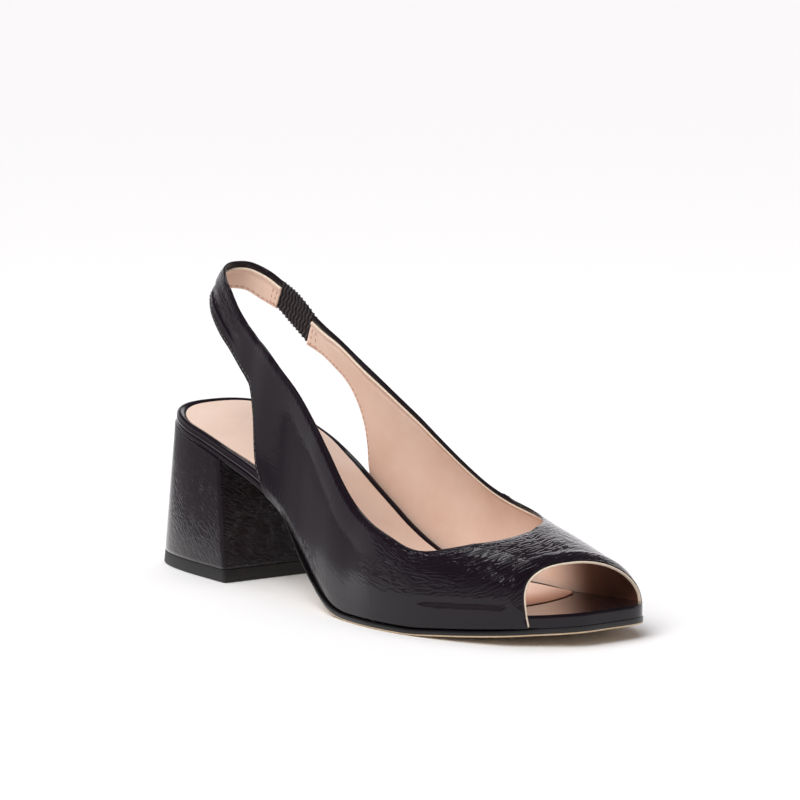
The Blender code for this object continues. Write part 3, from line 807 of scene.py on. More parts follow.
def along_spokes(grid, distance_from_top):
    """Points at given distances down each spoke: a row of distances for every station."""
    steps = np.linalg.norm(np.diff(grid, axis=1), axis=2)
    lengths = np.concatenate([np.zeros((len(grid), 1)), np.cumsum(steps, axis=1)], axis=1)
    out = np.empty((*distance_from_top.shape, grid.shape[2]))
    for i in range(len(grid)):
        out[i] = placed(grid[i], lengths[i], distance_from_top[i])
    return out


class UpperShape:
    """The wall's outer face as spokes, with what the pieces on it need to know."""

    def __init__(self):
        last = Last()
        coarse, _, _ = ring_spokes(last, COARSE_RING_STATIONS)
        ring, tops, lows = ring_spokes(last, RING_STATIONS)
        self.grid = np.concatenate([ring, strap_spokes(coarse[-STRAP_LEAD:])])
        self.count = len(self.grid)
        self.normal = face_normals(self.grid)
        self.length = np.linalg.norm(np.diff(self.grid, axis=1), axis=2).sum(axis=1)
        self.along = arc_lengths(self.grid[:, SPOKE_POINTS // 2])
        # spokes meet the lower edge at a slant
        edge_way = unit(np.gradient(self.grid[:, -1], axis=0))
        spoke_way = unit(self.grid[:, -1] - self.grid[:, -4])
        slant = np.linalg.norm(np.cross(edge_way, spoke_way), axis=1)
        self.slant = np.clip(eased(slant, SLANT_EASE), LEAST_SLANT, 1.0)
        low_x, turn = np.pad(lows, ((0, STRAP_STATIONS), (0, 0))).T
        on_feather = np.abs(turn) >= LOW_TURN - FEATHER_MARGIN
        self.on_peep = ~on_feather & (low_x > THROAT_TIP[0])
        self.on_rear = ~on_feather & ~self.on_peep
        self.waist = eased(on_feather * (1.0 - smooth_step(low_x, *WAIST_BEND_X)))
        tip = np.argmax(tops[:, 0])
        self.seam = int(np.argmin(np.abs(tops[:tip, 0] - SEAM_TOP_X)))

    def at(self, distance):
        """Points and normals at distances from the top line, one row of distances per station."""
        return along_spokes(self.grid, distance), unit(along_spokes(self.normal, distance))

    def spoke(self, k, distance):
        """Points and normals at distances down one spoke."""
        points, normals = self.grid[k:k + 1], self.normal[k:k + 1]
        return along_spokes(points, distance[None])[0], unit(along_spokes(normals, distance[None])[0])

    def from_low(self, distance):
        """Points and normals at one distance square to the lower edge, at every station."""
        points, normals = self.at((self.length - distance / self.slant)[:, None])
        return points[:, 0], normals[:, 0]

    def station(self, along):
        """Station that lies nearest to a place along the wall."""
        return int(np.argmin(np.abs(self.along - along)))


def eased(values, reach=STATION_EASE):
    """Values per station with their steps rounded off."""
    values = np.pad(np.asarray(values, float), reach // 2, mode="edge")
    return np.convolve(values, bell(reach), mode="valid")


def roll_in(distance, reach, depth):
    """How far a face curls in towards its edge."""
    return -depth * np.clip(1.0 - distance / reach, 0.0, 1.0) ** 2


def bend_in(distance, reach, slope):
    """How far a face lies in towards its edge past a crisp bend."""
    return -slope * BEND_SOFTNESS * np.log1p(np.exp((reach - distance) / BEND_SOFTNESS))


def leather_relief(shape, distance, points):
    """Soft creases, seams and curled edges of the leather, in millimetres out of its face."""
    along, length = shape.along[:, None], shape.length[:, None]
    from_low = (length - distance) * shape.slant[:, None]
    # the vamp laps over the inner quarter
    past_seam = along - along[shape.seam]
    lap = SEAM_STEP * smooth_step(past_seam, *SEAM_RISE) * (1.0 - smooth_step(past_seam, *SEAM_FADE))
    # folded edges are thinner than the stiffened wall
    top = bend_in(distance, *TOP_BEND)
    under = bend_in(from_low, *WAIST_BEND) * shape.waist[:, None]
    lip = bend_in(from_low, *LIP_BEND) + ridge(from_low, *LIP_RIDGE)
    rear = roll_in(from_low, *REAR_ROLL) * eased(shape.on_rear)[:, None]
    # the strap buckles where it turns round the heel
    share = distance / length
    turn = np.clip((np.arange(shape.count)[:, None] - RING_STATIONS) / STRAP_STATIONS, 0.0, 1.0)
    active = smooth_step(turn, *FOLDS_BEGIN) * (1.0 - smooth_step(turn, *FOLDS_END))
    folds = sum(
        ridge(share, height, place + drift * turn, width)
        for height, place, drift, width in zip(*STRAP_FOLDS.values())
    )
    # the outer side is drawn in over the edge of the insole near the toe
    x, y, z = np.moveaxis(points, -1, 0)
    near_toe = smooth_step(x, *PULL_BEGIN_X) * (1.0 - smooth_step(x, *PULL_END_X)) * (y < 0.0)
    pull = -PULL_DEPTH * bump_at(z, PULL_Z + PULL_RISE * (x - PULL_BEGIN_X[1]), PULL_WIDTH) * near_toe
    # and it is hollow over the waist
    flank = smooth_step(x, *HOLLOW_BEGIN_X) * (1.0 - smooth_step(x, *HOLLOW_END_X)) * (y < 0.0)
    hollow = -FLANK_HOLLOW * np.sin(math.pi * np.clip(share, 0.0, 1.0)) ** HOLLOW_SHAPE * flank
    return lap + top + under + lip * eased(shape.on_peep)[:, None] + rear + folds * active + pull + hollow


def edge_roll(start, end, behind):
    """Half-round rows from one face of the wall to the other, bulging away from a row behind."""
    centre, half = (start + end) / 2, (start - end) / 2
    across = unit(half)
    away = min((start, end), key=lambda row: np.linalg.norm(row - behind)) - behind
    away = unit(away - across * np.sum(away * across, axis=1)[:, None])
    radius = np.linalg.norm(half, axis=1)[:, None]
    angles = np.linspace(0.0, math.pi, ROLL_POINTS + 2)[1:-1]
    return np.stack([centre + math.cos(t) * half + math.sin(t) * away * radius for t in angles], 1)


def along_uv(shape, down):
    """Map coordinates of rows of points: along the wall and down from its top line."""
    return np.stack(np.broadcast_arrays(shape.along[:, None], down), -1).reshape(-1, 2)


def make_leather_upper(shape, patent):
    """Wall of the upper with rolled edges: inner face up, roll, outer face down, roll."""
    inner_share = np.linspace(1.0, 0.0, INNER_POINTS)[None]
    outer_share = np.linspace(0.0, 1.0, OUTER_POINTS)[None]
    outer_share = outer_share - ROW_CROWDING * np.sin(2 * math.pi * outer_share) / (2 * math.pi)
    inner_distance, outer_distance = (
        WALL / 2 + share * (shape.length - WALL)[:, None] for share in (inner_share, outer_share)
    )
    inner, inner_normal = shape.at(inner_distance)
    inner = inner - inner_normal * WALL
    outer, outer_normal = shape.at(outer_distance)
    outer = outer + outer_normal * leather_relief(shape, outer_distance, outer)[..., None]
    top_roll = edge_roll(inner[:, -1], outer[:, 0], outer[:, 1])
    low_roll = edge_roll(outer[:, -1], inner[:, 0], outer[:, -2])
    loop = np.concatenate([inner, top_roll, outer, low_roll], axis=1)
    verts = loop.reshape(-1, 3)
    at_top = np.zeros((shape.count, ROLL_POINTS))
    at_low = at_top + shape.length[:, None]
    uv = along_uv(shape, np.concatenate([-inner_distance, at_top, outer_distance, at_low], axis=1))
    from_low = (shape.length[:, None] - outer_distance) * shape.slant[:, None]
    gather = np.zeros(loop.shape[:2])
    first = INNER_POINTS + ROLL_POINTS
    gather[:, first:first + OUTER_POINTS] = (
        ridge(outer_distance, *TOP_GATHER) + ridge(from_low, *WAIST_GATHER) * shape.waist[:, None]
    )
    values = {"crinkle": crinkle_strength(verts), "gather": gather.ravel()}
    obj = mesh_piece("upper_leather", verts, loft(loop, capped=True), [patent], uv=uv, values=values)
    finish_piece(obj, "upper", "upper")


def crinkle_strength(verts):
    """How strongly the patent finish is creased: most over the toes, least on the flat flanks."""
    x, _, z = verts.T
    toes = smooth_step(x, *CRINKLE_TOE_X) * smooth_step(z, *CRINKLE_TOE_Z)
    flank = FLANK_CRINKLE + STRAP_CRINKLE * smooth_step(z, *CRINKLE_STRAP_Z)
    return np.clip(flank + (1.0 - flank) * toes, 0.0, 1.0)


def make_lining(shape, cords, lining, raw_edge):
    """Lining sheet inside the wall, with its pale cut edge left showing along the turned leather."""
    low_inset = LINING_PEEP_INSET * shape.on_peep + LINING_REAR_INSET * shape.on_rear
    low_inset = eased(low_inset + LINING_WAIST_INSET * shape.waist) / shape.slant
    low = (shape.length - low_inset)[:, None]
    first, last = LINING_TOP_INSET + LINING_TOP_STEPS[-1], low - LINING_LOW_STEPS[0]
    distance = np.concatenate([
        np.repeat(LINING_TOP_INSET + LINING_TOP_STEPS[None], shape.count, axis=0),
        first + (last - first) * np.linspace(0.0, 1.0, LINING_ROWS)[None, 1:-1],
        low - LINING_LOW_STEPS,
    ], axis=1)
    points, normals = shape.at(distance)
    depth = distance - LINING_TOP_INSET
    height = LINING_THICKNESS + ridge(depth, *LINING_BEAD) + ridge(depth, *LINING_GROOVE)
    height = height + ridge(low - distance, *LINING_REAR_GROOVE) * eased(shape.on_rear)[:, None]
    face = points - normals * (WALL + height)[..., None]
    back = points - normals * (WALL - LINING_TUCK)
    rows, cols = distance.shape
    sheet = rows * cols
    faces, slots = [], []
    for i, j in itertools.product(range(rows - 1), range(cols - 1)):
        a, b = i * cols + j, (i + 1) * cols + j
        faces += [(a, b, b + 1, a + 1), (a + sheet, b + sheet, b + 1 + sheet, a + 1 + sheet)]
        slots += [int(j == 0 or (j == cols - 2 and shape.on_peep[i])), 0]
    rim = [(i * cols + j, (i + 1) * cols + j) for i in range(rows - 1) for j in (0, cols - 1)]
    rim += [(i * cols + j, i * cols + j + 1) for i in (0, rows - 1) for j in range(cols - 1)]
    faces += [(a, b, b + sheet, a + sheet) for a, b in rim]
    slots += [1] * len(rim)
    verts = np.concatenate([face.reshape(-1, 3), back.reshape(-1, 3)])
    uv = along_uv(shape, distance)
    obj = mesh_piece("upper_lining", verts, faces, [lining, raw_edge], slots, np.concatenate([uv, uv]))
    finish_piece(obj, "sock")
    line = (shape.grid[:, -1] - shape.normal[:, -1] * (WALL - PEEP_EDGE_TUCK))[shape.on_peep]
    grown("peep_edge", cords, [line], "sock", Radius=PEEP_EDGE_RADIUS * MM, Finish=raw_edge)


# Sole pieces

def plan_sides(margin, first_x=None, front=None):
    """Right and left edge of a sole piece, each spread evenly along its length."""
    sides = []
    for side in (-1, 1):
        edge = moved_edge(side, margin)
        if first_x is not None:
            rear = first_x + (BREAST_SLANT * 2 * abs(OUTLINE["right"][1]) if side > 0 else 0.0)
            start = np.interp(rear, edge[:, 0], edge[:, 1])
            edge = np.concatenate([[(rear, start)], edge[edge[:, 0] > rear]])
        if front is not None:
            tip_x, bow = front
            edge = edge[edge[:, 0] < tip_x - bow * edge[:, 1] ** 2]
            ys = np.linspace(edge[-1, 1], 0.0, EDGE_POINTS)
            edge = np.concatenate([edge, np.stack([tip_x - bow * ys ** 2, ys], -1)])
        lengths = arc_lengths(edge)
        spread = np.linspace(0.0, lengths[-1], SLAB_STATIONS)
        sides.append(placed(edge, lengths, spread))
        if front is not None:
            corner = int(np.searchsorted(spread, lengths[-EDGE_POINTS]))
            near = np.arange(corner - CORNER_REACH, corner + CORNER_REACH)
            round_off(sides[-1], near, CORNER_ROUNDING)
    return sides


def slab(name, margin, profile, materials, slots=None, first_x=None, front=None):
    """A sole piece: its side is a profile of (inset, height) rows from the underside to the top.

    Heights are functions of x, and so may insets be. The underside and the top are filled across,
    and so is the back of a piece that has a first x.
    """
    right, left = plan_sides(margin, first_x, front)
    closed_back = first_x is None
    loop = np.concatenate([right, left[-2:0:-1] if closed_back else left[-2::-1]])
    tangent = np.roll(loop, -1, axis=0) - np.roll(loop, 1, axis=0)
    outward = unit(np.stack([tangent[:, 1], -tangent[:, 0]], -1))
    if not closed_back:
        outward[0], outward[-1] = outward[1], outward[-2]
    across = np.linspace(0.0, 1.0, SLAB_COLUMNS + 1)[1:-1, None]
    rings = []
    for inset, height in profile:
        plan = loop - outward * (inset(loop[:, :1]) if callable(inset) else inset)
        if not closed_back:
            plan = np.concatenate([plan, plan[-1] + (plan[0] - plan[-1]) * across])
        rings.append(np.concatenate([plan, height(plan[:, 0])[:, None]], axis=1))
    size = len(rings[0])
    slots = slots or [0] * (len(rings) - 1)
    verts, faces, face_slots = list(np.concatenate(rings)), loft(rings), list(np.repeat(slots, size))
    for row in (0, -1):
        ring, height = rings[row], profile[row][1]
        base = row % len(rings) * size
        lines = [] if closed_back else [[base, *range(base + size - 1, base + len(loop) - 2, -1)]]
        for a in range(len(lines), SLAB_STATIONS):
            b = (size - a) % size if closed_back else len(loop) - 1 - a
            middle = [base + a] * len(across)
            if a != b:
                fill = ring[a] + (ring[b] - ring[a]) * across
                fill[:, 2] = height(fill[:, 0])
                middle = range(len(verts), len(verts) + len(fill))
                verts.extend(fill)
            lines.append([base + a, *middle, base + b])
        for (one, two), c in itertools.product(zip(lines[:-1], lines[1:]), range(SLAB_COLUMNS)):
            corners = dict.fromkeys((one[c], one[c + 1], two[c + 1], two[c]))
            if len(corners) > 2:
                faces.append(tuple(corners))
                face_slots.append(slots[row])
    verts = np.array(verts)
    return mesh_piece(name, verts, faces, materials, face_slots, verts[:, :2])


def raised(surface, height):
    """A height above a surface, as a function of x."""
    return lambda x: surface(x) + height


def at_toe(x):
    """1 under the open toe, where the insole's front stands free."""
    return smooth_step(x, *OUTSOLE_TOE_BLEND)


def tread_margin(x):
    """How far the outsole stands out from the insole along the shoe."""
    side = WALL + GAP + OUTSOLE_MARGIN
    waist = smooth_step(x, *OUTSOLE_WAIST_BLEND)
    margin = OUTSOLE_WAIST_MARGIN + (side - OUTSOLE_WAIST_MARGIN) * waist
    return margin + (OUTSOLE_TOE_MARGIN - side) * at_toe(x)


def make_insole(patent):
    """Board wrapped in patent leather: a bead round the sock over a welt, flat where the toe is bare."""
    share = lambda part: (lambda x: feather_z(x) + part * bed_thickness(x))
    groove = lambda depth: (lambda x: depth * (1.0 - smooth_step(x, *RIM_GROOVE_X)))
    bead = lambda rise: (lambda x: bed_top(x) + rise * (1.0 - smooth_step(x, *RIM_BEAD_X)))
    foot = lambda inset: (lambda x: inset * (1.0 - FLUSH_TOE * at_toe(x)))
    rows = [
        (foot(FOOT_RADIUS * (1 - math.sin(turn))), raised(feather_z, FOOT_RADIUS * (1 - math.cos(turn))))
        for turn in np.linspace(0.0, math.pi / 2, FOOT_POINTS)
    ]
    rows += [(groove(depth), share(part)) for depth, part in INSOLE_GROOVE]
    rows += [(inset, bead(rise)) for inset, rise in INSOLE_BEAD]
    finish_piece(slab("insole_wrap", 0.0, rows, [patent]), "insole", "insole")


def sock_margin(x):
    """How far the sock lies inside the insole's edge: most at the back and at the waist."""
    rear = SOCK_REAR_TRIM * (1.0 - smooth_step(x, *SOCK_REAR_X))
    waist = SOCK_WAIST_TRIM * smooth_step(x, *SOCK_WAIST_X) * (1.0 - smooth_step(x, *SOCK_BALL_X))
    return -(SOCK_INSET + rear + waist)


def make_sock(sock):
    """Sock sheet with a soft pressed edge."""
    thinned = lambda x: 1.0 - SOCK_FRONT_PRESS * smooth_step(x, *SOCK_FRONT_PRESS_X)
    pressed = lambda height: (lambda x: bed_top(x) + height * thinned(x))
    rows = [(inset, pressed(height)) for inset, height in SOCK_EDGE]
    obj = slab("sock_sheet", sock_margin, rows, [sock], front=(SOCK_FRONT_X, SOCK_FRONT_BOW))
    finish_piece(obj, "sock", "sock")


def make_outsole(edge_paint, sole_sheet):
    """Thin sole sheet: its edge is inked black, trimmed to a pale line under the tread only."""
    top = raised(feather_z, -GAP)
    bottom = raised(feather_z, -GAP - OUTSOLE_THICKNESS)
    thinned = lambda inset, more: (lambda x: inset + more * (1.0 - smooth_step(x, *WAIST_THIN_X)))
    flush = lambda inset, more: (lambda x: thinned(inset, more)(x) * (1.0 - FLUSH_TOE * at_toe(x)))
    lip = lambda drop: (lambda x: top(x) - drop * (1.0 - TOE_FLAT * at_toe(x)) + TOE_RISE * at_toe(x))
    rows = [(thinned(inset, more), raised(bottom, rise)) for inset, more, rise in OUTSOLE_FOOT]
    rows += [(flush(inset, more), lip(drop)) for inset, more, drop in OUTSOLE_TOP]
    slots = [int(k < OUTSOLE_PALE_ROWS) for k in range(len(rows) - 1)]
    obj = slab("outsole_sheet", tread_margin, rows, [edge_paint, sole_sheet], slots, OUTSOLE_REAR_X)
    for face in obj.data.polygons:
        x, z = (face.center.x - SHIFT[0]) / MM, face.center.z / MM
        under = z < bottom(x) + UNDERSIDE_DEPTH and x > PALE_UNDERSIDE_X
        if x < PALE_EDGE_X and not under:
            face.material_index = 0
    finish_piece(obj, "outsole", "outsole")


# Heel

def heel_ring(reach, z_of_x):
    """Even outline of the heel block, round at the back and straight at the breast."""
    plan = {name: column[0] + (column[1] - column[0]) * reach for name, column in HEEL_PLAN.items()}
    power = 2.0 / plan["fullness"]
    angle = np.linspace(-math.pi / 2, math.pi / 2, HEEL_OUTLINE_POINTS)
    half = np.where(angle < 0, -plan["right"], plan["left"])
    y = np.sign(angle) * half * np.abs(np.sin(angle)) ** power
    y = y * (1.0 - plan["taper"] * np.cos(angle) ** power)
    front = plan["breast_x"] + BREAST_SLANT * (y - plan["right"])
    x = front - (front - plan["rear_x"]) * np.cos(angle) ** power
    points = np.stack([x, y, z_of_x(x)], -1)
    lengths = arc_lengths(points)
    back = placed(points, lengths, np.linspace(0.0, lengths[-1], HEEL_BACK_POINTS))
    across = np.linspace(0.0, 1.0, BREAST_POINTS + 1)[1:-1, None]
    ring = np.concatenate([back, back[-1] + (back[0] - back[-1]) * across])
    for corner in (0, HEEL_BACK_POINTS - 1):
        near = np.arange(corner - HEEL_EDGE_REACH, corner + HEEL_EDGE_REACH + 1) % len(ring)
        round_off(ring, near, HEEL_ROUNDING)
    return ring


def bevelled(obj):
    """Rounds the sharp edges, takes out the slivers that this leaves and bakes the result."""
    bevel = obj.modifiers.new("rounded", "BEVEL")
    bevel.width = HEEL_BEVEL * MM
    bevel.segments = HEEL_BEVEL_STEPS
    bevel.limit_method = "ANGLE"
    bevel.angle_limit = math.radians(HEEL_BEVEL_ANGLE)
    bevel.harden_normals = False
    depsgraph = bpy.context.evaluated_depsgraph_get()
    mesh = bpy.data.meshes.new_from_object(obj.evaluated_get(depsgraph))
    work = bmesh.new()
    work.from_mesh(mesh)
    bmesh.ops.dissolve_degenerate(work, dist=MERGE_DISTANCE * MM, edges=work.edges[:])
    work.to_mesh(mesh)
    work.free()
    obj.modifiers.clear()
    obj.data = mesh
    mesh.shade_smooth()


def block(name, rings, material):
    """Closed block from rings of the heel, with its two ends filled across."""
    size, back = len(rings[0]), HEEL_BACK_POINTS
    faces = loft(rings)
    for base in (0, (len(rings) - 1) * size):
        faces.append((*range(base + back - 1, base + size), base))
        for k in range(back // 2 - 1):
            faces.append((base + k, base + k + 1, base + back - 2 - k, base + back - 1 - k))
    verts = np.concatenate(rings)
    z, way = verts[:, 2], np.concatenate([arc_lengths(ring) for ring in rings])
    sine, cosine = HEEL_GRAIN
    uv = np.stack([sine * z + cosine * way, cosine * z - sine * way], -1)
    values = {"crinkle": np.where(np.arange(len(verts)) % size < back, *HEEL_CRINKLE)}
    return mesh_piece(name, verts, faces, [material], uv=uv, values=values)


def make_heel(patent, rubber):
    """Covered block and its rubber top piece."""
    low, top = TOP_PIECE_THICKNESS + COVER_GAP, TOP_PIECE_THICKNESS - COVER_GAP
    block_top = float(feather_z(HEEL_PLAN["breast_x"][1]))
    rings = []
    for share in np.linspace(0.0, 1.0, HEEL_ROWS):
        reach = (low + share * (block_top - low)) / block_top
        ring = heel_ring(reach, lambda x: low + share * (feather_z(x) - GAP - low))
        breast = ring[HEEL_BACK_POINTS:]
        breast[:, 0] += HEEL_LAP * smooth_step(breast[:, 1], *HEEL_LAP_Y)
        rings.append(ring)
    heel = block("heel_cover", rings, patent)
    bevelled(heel)
    finish_piece(heel, "heel", "heel")
    rings = []
    for z, inset in (*TOP_PIECE_FOOT, *((top - drop, inset) for drop, inset in TOP_PIECE_TOP)):
        ring = heel_ring(z / block_top, lambda x: np.full_like(x, z))
        way = np.roll(ring, -1, axis=0) - np.roll(ring, 1, axis=0)
        ring[:, :2] += inset * unit(np.stack([way[:, 1], -way[:, 0]], -1))
        rings.append(ring)
    finish_piece(block("top_piece_rubber", rings, rubber), "top_piece", "top_piece")


# Rows of stitches and elastic cords, by geometry nodes

def line_tree(name, sizes, lay):
    """Tree that lays something along lines, with inputs for its sizes and for its finish."""
    tree = bpy.data.node_groups.new(name, "GeometryNodeTree")
    sockets = [("Geometry", "Geometry"), *((size, "Float") for size in sizes), ("Finish", "Material")]
    for label, kind in sockets:
        tree.interface.new_socket(label, in_out="INPUT", socket_type="NodeSocket" + kind)
    tree.interface.new_socket("Geometry", in_out="OUTPUT", socket_type="NodeSocketGeometry")
    given, out = tree.nodes.new("NodeGroupInput").outputs, tree.nodes.new("NodeGroupOutput")
    line = add(tree, "GeometryNodeMeshToCurve", {"Mesh": given["Geometry"]}).outputs["Curve"]
    real = add(tree, "GeometryNodeRealizeInstances", {"Geometry": lay(tree, given, line)})
    smooth = add(tree, "GeometryNodeSetShadeSmooth", {"Geometry": real.outputs["Geometry"]})
    finish = add(tree, "GeometryNodeSetMaterial", {
        "Geometry": smooth.outputs["Geometry"], "Material": given["Finish"],
    })
    tree.links.new(finish.outputs["Geometry"], out.inputs["Geometry"])
    return tree


def lay_stitches(tree, given, line):
    """Threads laid end to end along a seam line."""
    spaced = add(tree, "GeometryNodeResampleCurve", {"Curve": line, "Length": given["Pitch"]}, mode="LENGTH")
    way = add(tree, "GeometryNodeInputTangent").outputs["Tangent"]
    turned = add(tree, "FunctionNodeAlignRotationToVector", {"Vector": way}, axis="X")
    half = add(tree, "ShaderNodeMath", {0: given["Length"], 1: 0.5}, operation="MULTIPLY")
    size = add(tree, "ShaderNodeCombineXYZ", {
        "X": half.outputs["Value"], "Y": given["Radius"], "Z": given["Radius"],
    })
    thread = add(tree, "GeometryNodeMeshUVSphere", {
        "Segments": ROUND_POINTS, "Rings": THREAD_RINGS, "Radius": 1.0,
    })
    return add(tree, "GeometryNodeInstanceOnPoints", {
        "Points": spaced.outputs["Curve"], "Instance": thread.outputs["Mesh"],
        "Rotation": turned.outputs["Rotation"], "Scale": size.outputs["Vector"],
    }).outputs["Instances"]


def lay_cord(tree, given, line):
    """Round cord along a line."""
    ring = add(tree, "GeometryNodeCurvePrimitiveCircle", {
        "Resolution": ROUND_POINTS, "Radius": given["Radius"],
    })
    return add(tree, "GeometryNodeCurveToMesh", {
        "Curve": line, "Profile Curve": ring.outputs["Curve"], "Fill Caps": True,
    }).outputs["Mesh"]


def grown(name, tree, lines, slot, **values):
    """A plain mesh from a tree run along polylines, given in the last's frame."""
    verts, edges = [], []
    for points in lines:
        start = len(verts)
        verts += (np.asarray(points) * MM + SHIFT).tolist()
        edges += [(start + k, start + k + 1) for k in range(len(points) - 1)]
    mesh = bpy.data.meshes.new(name + "_lines")
    mesh.from_pydata(verts, edges, [])
    obj = bpy.data.objects.new(name, mesh)
    bpy.context.scene.collection.objects.link(obj)
    modifier = obj.modifiers.new("grow", "NODES")
    modifier.node_group = tree
    for item in tree.interface.items_tree:
        if item.in_out == "INPUT" and item.name in values:
            modifier[item.identifier] = values[item.name]
    depsgraph = bpy.context.evaluated_depsgraph_get()
    made = bpy.data.meshes.new_from_object(obj.evaluated_get(depsgraph))
    obj.modifiers.clear()
    obj.data = made
    bpy.data.meshes.remove(mesh)
    finish_piece(obj, slot)


def make_stitches(shape, black_thread_painted_sheen, nude_thread):
    """Seam rows: along the free rear edges and the strap outside, and inside along the lining."""
    points, normals = shape.from_low(STITCH_FROM_EDGE)
    rear = np.flatnonzero(shape.on_rear)
    left, right = rear[rear < shape.count // 2], rear[rear >= shape.count // 2]
    first, last = STITCH_ROW_ENDS
    seams = [(points[k], normals[k]) for k in (left[first:-last], right[last:-first])]
    for end, back in itertools.product((0, -1), STITCH_END_ROWS):
        k = int(np.argmin(np.abs(np.abs(shape.along - shape.along[end]) - back)))
        stop = shape.length[k] - STITCH_END_STOP
        seams.append(shape.spoke(k, np.linspace(STITCH_END_START, stop, STITCH_LINE_POINTS)))
    outside = [line + face * STITCH_LIFT for line, face in seams]
    inside = [line - face * (WALL + LINING_THICKNESS - STITCH_SINK) for line, face in seams]
    k = shape.station(shape.along[shape.seam] + SEAM_STITCH_BACK)
    stop = shape.length[k] - SEAM_STITCH_STOP
    line, face = shape.spoke(k, np.linspace(SEAM_STITCH_START, stop, SEAM_STITCH_POINTS))
    outside.append(line + face * SEAM_STEP)
    tree = line_tree("stitch_row", ("Pitch", "Length", "Radius"), lay_stitches)
    sizes = {"Pitch": STITCH_PITCH * MM, "Length": STITCH_LENGTH * MM, "Radius": STITCH_RADIUS * MM}
    grown("upper_stitches", tree, outside, "upper", Finish=black_thread_painted_sheen, **sizes)
    grown("lining_stitches", tree, inside, "sock", Finish=nude_thread, **sizes)


def make_elastic(shape, cords, web, rib):
    """Ribbed elastic between the strap's end and the inner quarter."""
    ends = []
    for k, other in ((-1, 0), (0, -1)):
        edge, steps = shape.grid[k], np.linspace(0.0, 1.0, SPOKE_POINTS)
        towards = unit(shape.grid[other].mean(axis=0) - edge.mean(axis=0))
        trim = ELASTIC_INSET / shape.length[k]
        share = np.linspace(trim, 1 - trim, ELASTIC_COLUMNS)
        facing = placed(shape.normal[k], steps, share)
        ends.append((placed(edge, steps, share) - facing * WALL / 2 - towards * ELASTIC_TUCK, unit(facing)))
    (start, start_face), (end, end_face) = ends
    steps = np.linspace(0.0, 1.0, ELASTIC_ROWS)[:, None, None]
    middle = start * (1 - steps) + end * steps
    upward = unit(middle[:, :1] - middle[:, -1:])
    slack = np.linspace(1.0, 0.0, ELASTIC_COLUMNS)[None, :, None] ** 2
    middle = middle + ELASTIC_BULGE * np.sin(math.pi * steps) * slack * upward
    facing = unit(start_face * (1 - steps) + end_face * steps)
    loop = np.concatenate([middle + facing * WEB_HALF, (middle - facing * WEB_HALF)[:, ::-1]], axis=1)
    uv = (np.moveaxis(np.indices(loop.shape[:2]), 0, -1) * WEB_CELL).reshape(-1, 2)
    base = mesh_piece("elastic_web", loop.reshape(-1, 3), loft(loop, capped=True), [web], uv=uv)
    finish_piece(base, "elastic_gore", "elastic_gore")
    lines = []
    height, turns, shift = RIB_WAVE
    for r, sign in itertools.product(range(RIB_COUNT), (1, -1)):
        wave = height * np.sin(np.linspace(0.0, turns * 2 * math.pi, ELASTIC_COLUMNS) + r * shift)
        place = ((r + RIB_FIRST) / (RIB_COUNT + RIB_SPARE) + wave) * (ELASTIC_ROWS - 1)
        face = middle + sign * RIB_LIFT * facing
        rows = np.arange(ELASTIC_ROWS)
        lines.append(np.concatenate([
            placed(face[:, c], rows, place[c:c + 1]) for c in range(ELASTIC_COLUMNS)
        ]))
    grown("elastic_ribs", cords, lines, "elastic_gore", Radius=RIB_RADIUS * MM, Finish=rib)


# Materials

def new_material(name, values):
    """A material with values set on its Principled shader, its tree and the shader."""
    material = bpy.data.materials.new(name)
    material.use_nodes = True
    shader = material.node_tree.nodes["Principled BSDF"]
    for key, value in values.items():
        shader.inputs[key].default_value = value
    return material, material.node_tree, shader


